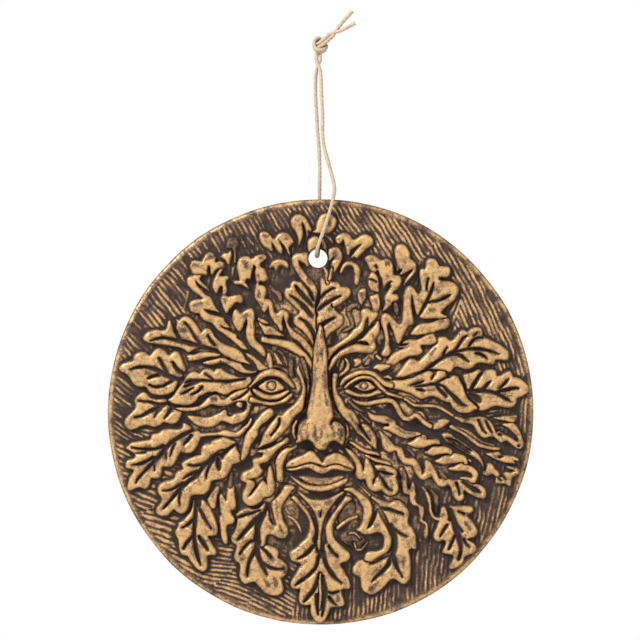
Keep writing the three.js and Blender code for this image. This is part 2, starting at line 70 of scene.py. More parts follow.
def to_frame(points):
    """Points in mm from the middle of the disc's back, as an array in metres in the part's frame."""
    return np.asarray(points, float) * MM + np.array(DISC_MIDDLE)


print("disc middle, in mm:", [round(v / MM, 2) for v in DISC_MIDDLE])

# %% [markdown]
# The camera comes first, because the free cord is measured against what it sees. The photograph
# looks straight at the face from some way off: 0.422 mm of the disc is one pixel of a picture that
# is 640 pixels wide, and the disc's middle is a little right of the picture's middle, and below it.

# %% Camera
PIXEL = 0.42214 * MM
PICTURE = 640
DISC_PIXEL = (320.84, 412.27)
CAMERA_DISTANCE = 1.25
FACE_Y = DISC_MIDDLE.y - THICKNESS * MM
scene = bpy.context.scene
camera_data = bpy.data.cameras.new("photo_camera")
camera = bpy.data.objects.new("photo_camera", camera_data)
scene.collection.objects.link(camera)
camera.location = (
    DISC_MIDDLE.x + (PICTURE / 2 - DISC_PIXEL[0]) * PIXEL,
    FACE_Y - CAMERA_DISTANCE,
    DISC_MIDDLE.z + (DISC_PIXEL[1] - PICTURE / 2) * PIXEL,
)
camera.rotation_euler = (math.radians(90), 0, 0)
camera_data.sensor_width = 36
camera_data.lens = camera_data.sensor_width * CAMERA_DISTANCE / (PICTURE * PIXEL)
scene.camera = camera
print("lens of", round(camera_data.lens), "mm")

# %% [markdown]
# The plaque was photographed in a white light tent. A pale world gives the even light, a large soft
# lamp on the upper left models the leaves, and a weaker one on the right opens the shadows. The
# camera sees a brighter world than the one that lights the scene, so that the ground behind the
# plaque is plain white. The floor lies well under the plaque, out of the picture.

# %% Light and floor
scene.view_settings.view_transform = "Standard"
SKY_SEEN, SKY_LIGHT = 1.0, 0.42
world = bpy.data.worlds.new("white_tent")
scene.world = world
world.use_nodes = True
sky = world.node_tree
sky.nodes.clear()
sky_out = sky.nodes.new("ShaderNodeOutputWorld")
sky_mix = sky.nodes.new("ShaderNodeMixShader")
sky_path = sky.nodes.new("ShaderNodeLightPath")
sky.links.new(sky_path.outputs["Is Camera Ray"], sky_mix.inputs[0])
for socket, strength in ((1, SKY_LIGHT), (2, SKY_SEEN)):
    background = sky.nodes.new("ShaderNodeBackground")
    background.inputs["Color"].default_value = (1, 1, 1, 1)
    background.inputs["Strength"].default_value = strength
    sky.links.new(background.outputs[0], sky_mix.inputs[socket])
sky.links.new(sky_mix.outputs[0], sky_out.inputs["Surface"])


def soft_lamp(name, place, size, power):
    """An area lamp that faces the middle of the disc."""
    data = bpy.data.lights.new(name, "AREA")
    data.shape = "DISK"
    data.size = size
    data.energy = power
    lamp = bpy.data.objects.new(name, data)
    scene.collection.objects.link(lamp)
    lamp.location = place
    lamp.rotation_euler = (DISC_MIDDLE - Vector(place)).to_track_quat("-Z", "Y").to_euler()


soft_lamp("key_upper_left", place=(-0.75, -0.75, 0.65), size=0.45, power=19.5)
soft_lamp("fill_right", place=(0.9, -0.9, 0.1), size=0.8, power=5)

FLOOR_DROP = 0.21
FLOOR_RADIUS = 1.4
FLOOR_COLOUR = (0.82, 0.81, 0.79, 1)
bpy.ops.mesh.primitive_circle_add(vertices=96, radius=FLOOR_RADIUS, fill_type="NGON")
floor = bpy.context.object
floor.name = "floor"
floor.location.z = plaque_low.z - FLOOR_DROP
pale = bpy.data.materials.new("pale_floor")
pale.use_nodes = True
pale_shader = pale.node_tree.nodes["Principled BSDF"]
pale_shader.inputs["Base Color"].default_value = FLOOR_COLOUR
pale_shader.inputs["Roughness"].default_value = 0.7
floor.data.materials.append(pale)
print("floor at z =", round(floor.location.z, 3), "m")

# %% [markdown]
# The twine and every leaf are drawn as a few points each. A smooth curve joins them, and it can be
# spaced evenly, so that every ring of a tube is alike. A tube also needs a side direction at each
# point. It is carried along the line, because one worked out afresh would spin in the bends.

# %% Curves through points


def smooth_line(points, steps=8, closed=False):
    """A smooth curve through the points. A third column, a half width, is carried along."""
    p = np.array(points, float)
    q = np.vstack([p[-1:], p, p[:2]]) if closed else np.vstack([2 * p[0] - p[1], p, 2 * p[-1] - p[-2]])
    t = np.linspace(0, 1, steps, endpoint=False)[:, None]
    parts = []
    for a, b, c, d in zip(q[:-3], q[1:-2], q[2:-1], q[3:]):
        square, cube = 2 * a - 5 * b + 4 * c - d, 3 * b - a - 3 * c + d
        parts.append(0.5 * (2 * b + (c - a) * t + square * t**2 + cube * t**3))
    if not closed:
        parts.append(p[-1:])
    return np.vstack(parts)


def evenly(line, spacing):
    """The same line with its points a spacing apart."""
    far = np.concatenate([[0], np.cumsum(np.linalg.norm(np.diff(line, axis=0), axis=1))])
    wanted = np.linspace(0, far[-1], int(far[-1] / spacing) + 1)
    return np.column_stack([np.interp(wanted, far, line[:, k]) for k in range(line.shape[1])])


def carried_frames(line):
    """The direction of a line at each point, and a side direction that never spins about it."""
    ahead = np.gradient(line, axis=0)
    ahead /= np.linalg.norm(ahead, axis=1)[:, None]
    side = np.cross(ahead[0], [0, 1.0, 0])
    sides = []
    for direction in ahead:
        side = side - direction * (side @ direction)
        side = side / np.linalg.norm(side)
        sides.append(side)
    return ahead, np.array(sides)


print("a curve through 3 points has", len(smooth_line([[0, 0], [1, 1], [2, 0]])), "points")

# %% [markdown]
# One length of jute twine runs through the hole. Its two halves rise behind and in front of the
# disc, turn together through an overhand knot, and end in two short tails. Each half is a cord with
# its own route. The points are those of the CAD part, and the knot's are added between them: both
# halves follow one guide through it, each on its own side.

# %% Routes of the twine
TWINE = 1.6
KNOT_SHIFT = 0.48
GUIDE_STEP = 1.2
RING_STEP = 0.4
IN_BORE = [-1.6, -4.5, 65.9]
front_route = [
    IN_BORE, [-1.8, -7.65, 66.2], [-1.7, -10.9, 67.7], [-1.1, -12.5, 70.4],
    [0.7, -12.5, 75.3], [2.3, -12.5, 80.13], [3.9, -12.3, 85.17], [5.1, -11.4, 90],
    [5.5, -10.35, 96.55], [1.1, -8.28, 113.58], [0.7, -6.48, 126.03], [0.25, -5.22, 134.54],
    [-0.15, -3.6, 144],
]
back_route = [
    IN_BORE, [-1.3, -1.62, 66.6], [-1.1, 0.42, 68.2], [-0.9, 1.3, 70.6],
    [-0.8, 1.3, 75.3], [-0.6, 1.3, 90], [-0.5, 0.5, 106.38], [-1.4, -0.1, 119.48],
    [-2.2, -0.6, 134.54], [-2.0, -1.2, 144],
]
knot_guide = [
    [-1.1, -2.1, 149.0], [-1.1, -1.8, 151.4], [-0.7, -0.9, 154.0], [-0.2, -0.8, 156.6],
    [-1.3, -1.2, 158.2], [-2.7, -1.9, 157.0], [-2.7, -2.8, 154.8], [-1.4, -3.7, 153.2],
    [0.8, -3.3, 153.2], [2.1, -1.9, 154.3], [1.5, -0.2, 155.4], [-0.3, 0.3, 156.0],
    [-1.6, -0.7, 155.8], [-1.5, -2.6, 155.2], [0.3, -3.8, 156.2], [2.4, -3.3, 158.0],
    [4.4, -2.7, 159.8],
]
front_tail = [[8.6, -3.0, 164.6], [13.4, -3.4, 169.9]]
back_tail = [[9.0, -4.4, 161.8], [14.4, -5.2, 164.7]]


def twine_route(route, side, tail):
    """A half's route: up to the knot, through it on one side of the guide, and out to its tail."""
    guide = evenly(smooth_line(knot_guide), GUIDE_STEP)
    across = carried_frames(guide)[1]
    turns = guide + across * side * TWINE * KNOT_SHIFT
    return evenly(smooth_line([*route, *turns, *tail], steps=6), RING_STEP)


front_line = twine_route(front_route, 1, front_tail)
back_line = twine_route(back_route, -1, back_tail)
for name, line in (("front", front_line), ("back", back_line)):
    length = np.linalg.norm(np.diff(line, axis=0), axis=1).sum()
    print(name, "half of the twine:", round(length, 1), "mm,", len(line), "rings")

# %% [markdown]
# Jute twine is three plies laid round each other. Modelled as one tube whose section is a clover
# of three lobes that turns along the line, it needs a tenth of the faces of separate plies and
# looks the same. Its UV map runs along the twine and round it, so that the fibres of the material
# can follow the twist.

# %% Twisted tube
PLIES = 3
PLY_DEPTH = 0.2
TWIST = 5.5
TUBE_SIDES = 18
FRAY = 1.12
LONG_SWELL, LONG_PACE = 0.05, 0.37
SHORT_SWELL, SHORT_PACE = 0.03, 1.9


def twine_mesh(name, line):
    """A tube of twisted plies along a line in mm, in the part's frame, with a UV map."""
    ahead, side = carried_frames(line)
    up = np.cross(ahead, side)
    spacing = np.linalg.norm(line[1] - line[0])
    turn = 2 * np.pi * np.arange(len(line)) * spacing / TWIST
    angle = np.linspace(0, 2 * np.pi, TUBE_SIDES, endpoint=False)[None, :]
    lobes = np.abs(np.cos(PLIES / 2 * (angle - turn[:, None])))
    swell = 1 + LONG_SWELL * np.sin(turn * LONG_PACE) + SHORT_SWELL * np.sin(turn * SHORT_PACE + 1)
    radius = TWINE / 2 * (1 - PLY_DEPTH + PLY_DEPTH * lobes) * swell[:, None]
    radius[-2:] *= FRAY
    ring = side[:, None] * np.cos(angle)[..., None] + up[:, None] * np.sin(angle)[..., None]
    rings = line[:, None] + ring * radius[..., None]
    points = to_frame(np.vstack([rings.reshape(-1, 3), line[:1], line[-1:]]))
    count, last = TUBE_SIDES, (len(line) - 1) * TUBE_SIDES
    faces = []
    for r in range(len(line) - 1):
        for k in range(count):
            a, b = r * count + k, r * count + (k + 1) % count
            faces.append((a, b, b + count, a + count))
    first_middle, last_middle = len(line) * count, len(line) * count + 1
    for k in range(count):
        faces.append((first_middle, (k + 1) % count, k))
        faces.append((last_middle, last + k, last + (k + 1) % count))
    mesh = bpy.data.meshes.new(name)
    mesh.from_pydata(points.tolist(), [], faces)
    along = np.append(np.repeat(np.arange(len(line)) * spacing, count), [0, len(line) * spacing])
    corner_vertex = np.zeros(len(mesh.loops), int)
    mesh.loops.foreach_get("vertex_index", corner_vertex)
    around = np.append(np.tile(np.arange(count) / count, len(line)), [0.5, 0.5])
    uv = np.column_stack([along[corner_vertex] / TWIST, around[corner_vertex]])
    for face in mesh.polygons:
        own = list(face.loop_indices)
        if np.ptp(uv[own, 1]) > 0.5:
            uv[own, 1] += (uv[own, 1] < 0.5)
    mesh.uv_layers.new(name="fibres").data.foreach_set("uv", uv.astype(np.float32).ravel())
    mesh.polygons.foreach_set("use_smooth", [True] * len(mesh.polygons))
    twine = bpy.data.objects.new(name, mesh)
    scene.collection.objects.link(twine)
    return twine


front_twine = twine_mesh("twine_front", front_line)
back_twine = twine_mesh("twine_back", back_line)
print("faces in a half of the twine:", len(front_twine.data.polygons))

# %% [markdown]
# The carving is worked out as a height over the disc, on a fine square grid of numbers. Each leaf
# or stem is a shape with a distance to its edge: near the edge its top rounds down, and just
# outside it the ground is cut away, which is how a carver sets one leaf in front of another. Veins
# are shapes that are cut out again. This is quick to change, and every form meets its neighbours
# cleanly, which is hard to reach with hundreds of separate meshes.

# %% Height field
STEP = 0.3
GRID = int(round(2 * RADIUS / STEP)) + 1
SPARE = 2
FAR_OFF = 1e3
TINY = 1e-9
axis = np.linspace(-RADIUS, RADIUS, GRID)
X, Z = np.meshgrid(axis, axis)
height = np.zeros_like(X)
gold = np.zeros_like(X)


def soft_noise(x, z, lump, seed):
    """Smooth noise between -1 and 1 whose lumps are about that many mm across."""
    size = int(2 * RADIUS / lump) + 3 * SPARE
    lattice = np.random.default_rng(seed).uniform(-1, 1, (size, size))
    u, v = (x + RADIUS) / lump + SPARE, (z + RADIUS) / lump + SPARE
    i, j = np.floor(u).astype(int), np.floor(v).astype(int)
    f, g = u - i, v - j
    f, g = f * f * (3 - 2 * f), g * g * (3 - 2 * g)
    low = lattice[j, i] * (1 - f) + lattice[j, i + 1] * f
    high = lattice[j + 1, i] * (1 - f) + lattice[j + 1, i + 1] * f
    return low * (1 - g) + high * g


def from_segment(x, z, a, b):
    """Distance from a straight piece a to b, and the share of it at which it is nearest."""
    dx, dz = b[0] - a[0], b[1] - a[1]
    t = np.clip(((x - a[0]) * dx + (z - a[1]) * dz) / (dx * dx + dz * dz + TINY), 0, 1)
    return np.hypot(x - a[0] - t * dx, z - a[1] - t * dz), t


def from_line(x, z, line):
    """Distance from a line that has a half width at each point; less than 0 inside it."""
    best = np.full(x.shape, FAR_OFF)
    for a, b in zip(line[:-1], line[1:]):
        away, t = from_segment(x, z, a, b)
        np.minimum(best, away - (a[2] + t * (b[2] - a[2])), out=best)
    return best


def from_outline(x, z, outline):
    """Distance from a closed outline; less than 0 inside it."""
    best = np.full(x.shape, FAR_OFF)
    inside = np.zeros(x.shape, bool)
    for a, b in zip(outline, np.roll(outline, -1, axis=0)):
        np.minimum(best, from_segment(x, z, a, b)[0], out=best)
        if a[1] != b[1]:
            crossing = a[0] + (z - a[1]) * (b[0] - a[0]) / (b[1] - a[1])
            inside ^= ((a[1] > z) != (b[1] > z)) & (x < crossing)
    return np.where(inside, -best, best)


print("height field of", GRID, "by", GRID)

# %% [markdown]
# `lay` puts one shape on what is already carved. Its top is level with rounded shoulders, its cuts
# are grooves, its dishes are shallow hollows, and a narrow moat round it is cut down to the ground.
# Beside the height it keeps the gold: a rag with gold paste touches tops and edges, never a groove,
# and the gold is thinned beside a groove as painted shade. Outlines are read where the gold ends, so
# each shape swells a little to hold its dark edge too. The grid is read through a slight wobble, so
# that no edge is as clean as a computer draws it. All widths and depths here are in mm.

# %% Laying a shape
WOBBLE = 0.14
SWELL = 0.22
MARGIN = 3.0
LEAF_SHOULDER, STRAND_SHOULDER = 1.2, 0.8
EDGE_RISE = 0.22
CROWN_SLOPE, CROWN_REACH = 0.1, 2.5
LOWEST = 0.09
DISH_DEPTH, DISH_FADE, DISH_CORE = 0.4, 1.6, 0.7
DISH_BARE = 0.68
MOAT, MOAT_SLOPE = 0.4, 1.5
STAIN_LINE, STAIN_FADE = 0.1, 0.3
GOLD_LAP, GOLD_FADE = 0.08, 0.45
# How far the painted shade beside a groove reaches, and the share of gold it leaves at the groove.
GROOVE_SHADE, GROOVE_SHADE_LEAST = 1.8, 0.6
clear = np.full(X.shape, RADIUS)
wobble_x = X + WOBBLE * soft_noise(X, Z, lump=4.0, seed=1) + WOBBLE / 2 * soft_noise(X, Z, lump=1.5, seed=2)
wobble_z = Z + WOBBLE * soft_noise(X, Z, lump=4.0, seed=3) + WOBBLE / 2 * soft_noise(X, Z, lump=1.5, seed=4)


def read(text):
    """Strokes of points: numbers are parted by commas, points by spaces, strokes by slashes."""
    strokes = [stroke.split() for stroke in text.split("/")]
    return [[[float(n) for n in point.split(",")] for point in stroke] for stroke in strokes if stroke]


def patch_of(points):
    """The slices of the grid that hold some points, with a margin."""
    low = np.clip((np.min(points, axis=0)[:2] - MARGIN + RADIUS) / STEP, 0, GRID - 1).astype(int)
    high = np.clip((np.max(points, axis=0)[:2] + MARGIN + RADIUS) / STEP, 0, GRID - 1).astype(int)
    return slice(low[1], high[1] + 1), slice(low[0], high[0] + 1)


def lay(rise, shine, line, from_shape, shoulder, cuts="", dishes=""):
    """Carve one shape of some height; shine is how much gold it takes."""
    patch = patch_of(line)
    x, z = wobble_x[patch], wobble_z[patch]
    edge = from_shape(x, z, line) - SWELL
    from_groove = np.full(x.shape, RADIUS)
    for cut in read(cuts):
        from_groove = np.minimum(from_groove, from_line(x, z, smooth_line(cut, steps=4)))
    body = np.maximum(edge, -from_groove)
    depth = np.clip(-body / shoulder, 0, 1)
    rounded = EDGE_RISE + (1 - EDGE_RISE) * np.sqrt(1 - (1 - depth) ** 2)
    top = rise * rounded + CROWN_SLOPE * np.clip(-edge - shoulder, 0, CROWN_REACH)
    # Gold is thinned near each groove: painted shade along the grooves.
    shade_beside_groove = GROOVE_SHADE_LEAST + (1 - GROOVE_SHADE_LEAST) * np.clip(from_groove / GROOVE_SHADE, 0, 1)
    shown = np.clip((GOLD_LAP - body) / GOLD_FADE, 0, 1) * shine * shade_beside_groove
    for dish in read(dishes):
        hollow = np.clip(DISH_CORE - from_line(x, z, smooth_line(dish, steps=4)) / DISH_FADE, 0, 1)
        top = top - DISH_DEPTH * hollow
        shown = shown * (1 - DISH_BARE * hollow)
    dug = np.minimum(height[patch], np.clip(edge, 0, None) * MOAT_SLOPE)
    outside = np.where(edge < MOAT, dug, height[patch])
    height[patch] = np.where(edge < 0, np.maximum(top, LOWEST * rise), outside)
    unstained = np.clip((edge - STAIN_LINE) / STAIN_FADE, 0, 1)
    kept = np.where(edge < MOAT, gold[patch] * unstained, gold[patch])
    gold[patch] = np.where(edge < 0, shown, kept)
    clear[patch] = np.minimum(clear[patch], edge)


def lay_leaves(leaves):
    """Carve closed shapes; gives how many there are."""
    for _, rise, shine, outline, *inside in leaves:
        line = smooth_line(read(outline)[0], steps=4, closed=True)
        lay(rise, shine, line, from_outline, LEAF_SHOULDER, *inside)
    return len(leaves)


def lay_strands(strands):
    """Carve single strokes, each a line with half widths; gives how many there are."""
    for rise, shine, strand in strands:
        lay(rise, shine, smooth_line(read(strand)[0], steps=5), from_line, STRAND_SHOULDER)
    return len(strands)


print("edges wobble by up to", round(float(np.abs(wobble_x - X).max()), 2), "mm")

# %% [markdown]
# The ground is scratched with a comb-like tool, patch by patch. Each patch of strokes has a middle,
# a direction and a spacing, and reaches as far as the next patch. A stroke is a wave across the
# direction, bent a little and broken along its length. The strokes are deepest near the rim, where
# their ridges catch gold, and end just short of it.

# %% Scratched ground
# Each row: x, z, direction in degrees from the x axis, spacing of the strokes, extra gold.
scratches = [
    [-70, 42, -52, 1.85, 0.1], [-60, 58, -50, 1.8, 0.05], [-40, 75, -58, 1.7, 0], [-18, 84, -60, 1.6, 0.1],
    [14, 84, -57, 1.6, 0.2], [36, 76, -57, 1.7, 0.3], [56, 62, -61, 1.7, 0.35], [72, 44, -65, 1.6, 0.35],
    [82, 26, -72, 1.5, 0.25], [85, 4, 88, 1.6, 0.1], [80, -20, 80, 1.7, -0.05], [74, -42, 78, 1.7, -0.25],
    [58, -58, 85, 1.7, -0.3], [40, -74, 88, 1.7, -0.1], [20, -84, 90, 1.7, 0.1], [-2, -88, 86, 1.7, 0.1],
    [-22, -80, -28, 1.6, 0.2], [-36, -74, -18, 1.5, 0.25], [-44, -64, -8, 1.6, 0.2],
    [-58, -66, -24, 1.9, 0.45], [-70, -48, -16, 2.1, 0.45], [-78, -36, -22, 2.1, 0.35],
    [-86, -14, -30, 1.7, 0.1], [-84, 8, -40, 1.8, 0], [-82, 26, -48, 1.8, 0.1], [-48, 52, 80, 1.7, 0],
    [0, 60, 86, 1.6, 0], [46, 50, 70, 1.7, 0], [50, -40, 80, 1.7, 0], [-66, -4, -12, 1.8, 0],
    [66, 0, 10, 1.7, 0],
]
STROKE_LENGTH = 5.0
STROKE_WIDER = 1.15
WHOLE, GAPS = 0.78, 0.6
SCRATCH_START, SCRATCH_FADE, SCRATCH_LEAST = 54, 18, 0.12
RIM_PLAIN, RIM_FADE = 1.4, 2.2
SCRATCH_HEIGHT, GROUND_SWELL = 0.7, 0.15
RIDGE_SHARP, RIDGE_START, RIDGE_EXTRA = 2.3, 0.75, 1.2
RIDGE_GOLD, WORN_GOLD, EXTRA_GOLD, GROUND_GOLD = 0.7, 0.25, 0.4, 0.14
RUB_START, RUB_RISE = 0.2, 1.3
border = 3.0 * soft_noise(X, Z, lump=6.0, seed=5)
bend = 0.55 * soft_noise(X, Z, lump=9.0, seed=6)
tremble = 0.25 * soft_noise(X, Z, lump=3.5, seed=7)
nearest = np.full(X.shape, FAR_OFF)
ridge = np.zeros_like(X)
extra = np.zeros_like(X)
for x, z, direction, spacing, more in scratches:
    away = np.hypot(X - x, Z - z) + border
    turn = math.radians(direction)
    across = wobble_z * math.cos(turn) - wobble_x * math.sin(turn) + bend + tremble
    along = wobble_x * math.cos(turn) + wobble_z * math.sin(turn)
    one_stroke = np.clip(across, -RADIUS, RADIUS), np.clip(along / STROKE_LENGTH, -RADIUS, RADIUS)
    broken = np.clip(WHOLE + GAPS * soft_noise(*one_stroke, lump=1.4, seed=10), 0, 1)
    wave = (0.5 + 0.5 * np.cos(2 * np.pi * across / (STROKE_WIDER * spacing))) * broken
    ridge = np.where(away < nearest, wave, ridge)
    extra = np.where(away < nearest, more, extra)
    nearest = np.minimum(nearest, away)
from_middle = np.hypot(X, Z)
worn = 0.5 + 0.5 * soft_noise(X, Z, lump=6.0, seed=8)
near_rim = np.clip((from_middle - SCRATCH_START) / SCRATCH_FADE, SCRATCH_LEAST, 1)
near_rim = near_rim * np.clip((RADIUS - RIM_PLAIN - from_middle) / RIM_FADE, 0, 1)
height += SCRATCH_HEIGHT * ridge * near_rim + GROUND_SWELL * soft_noise(X, Z, lump=10.0, seed=9)
on_ridge = np.clip(RIDGE_SHARP * ridge - RIDGE_START + RIDGE_EXTRA * extra, 0, 1)
caught = RIDGE_GOLD + WORN_GOLD * worn + EXTRA_GOLD * extra
rubbed_ground = np.clip(near_rim - RUB_START, 0, 1 - RUB_START) * GROUND_GOLD * worn
gold += rubbed_ground + on_ridge * np.clip(RUB_RISE * near_rim - RUB_START, 0, 1) * caught
print("deepest scratch:", round(float(np.ptp(height)), 2), "mm")

# %% [markdown]
# These are the leaves on the left, read off the photograph. Each has a name, its height in mm, how
# much gold it takes, and its closed outline as x,z points. Grooves and then hollows may follow, as
# strokes of x,z,half width points.

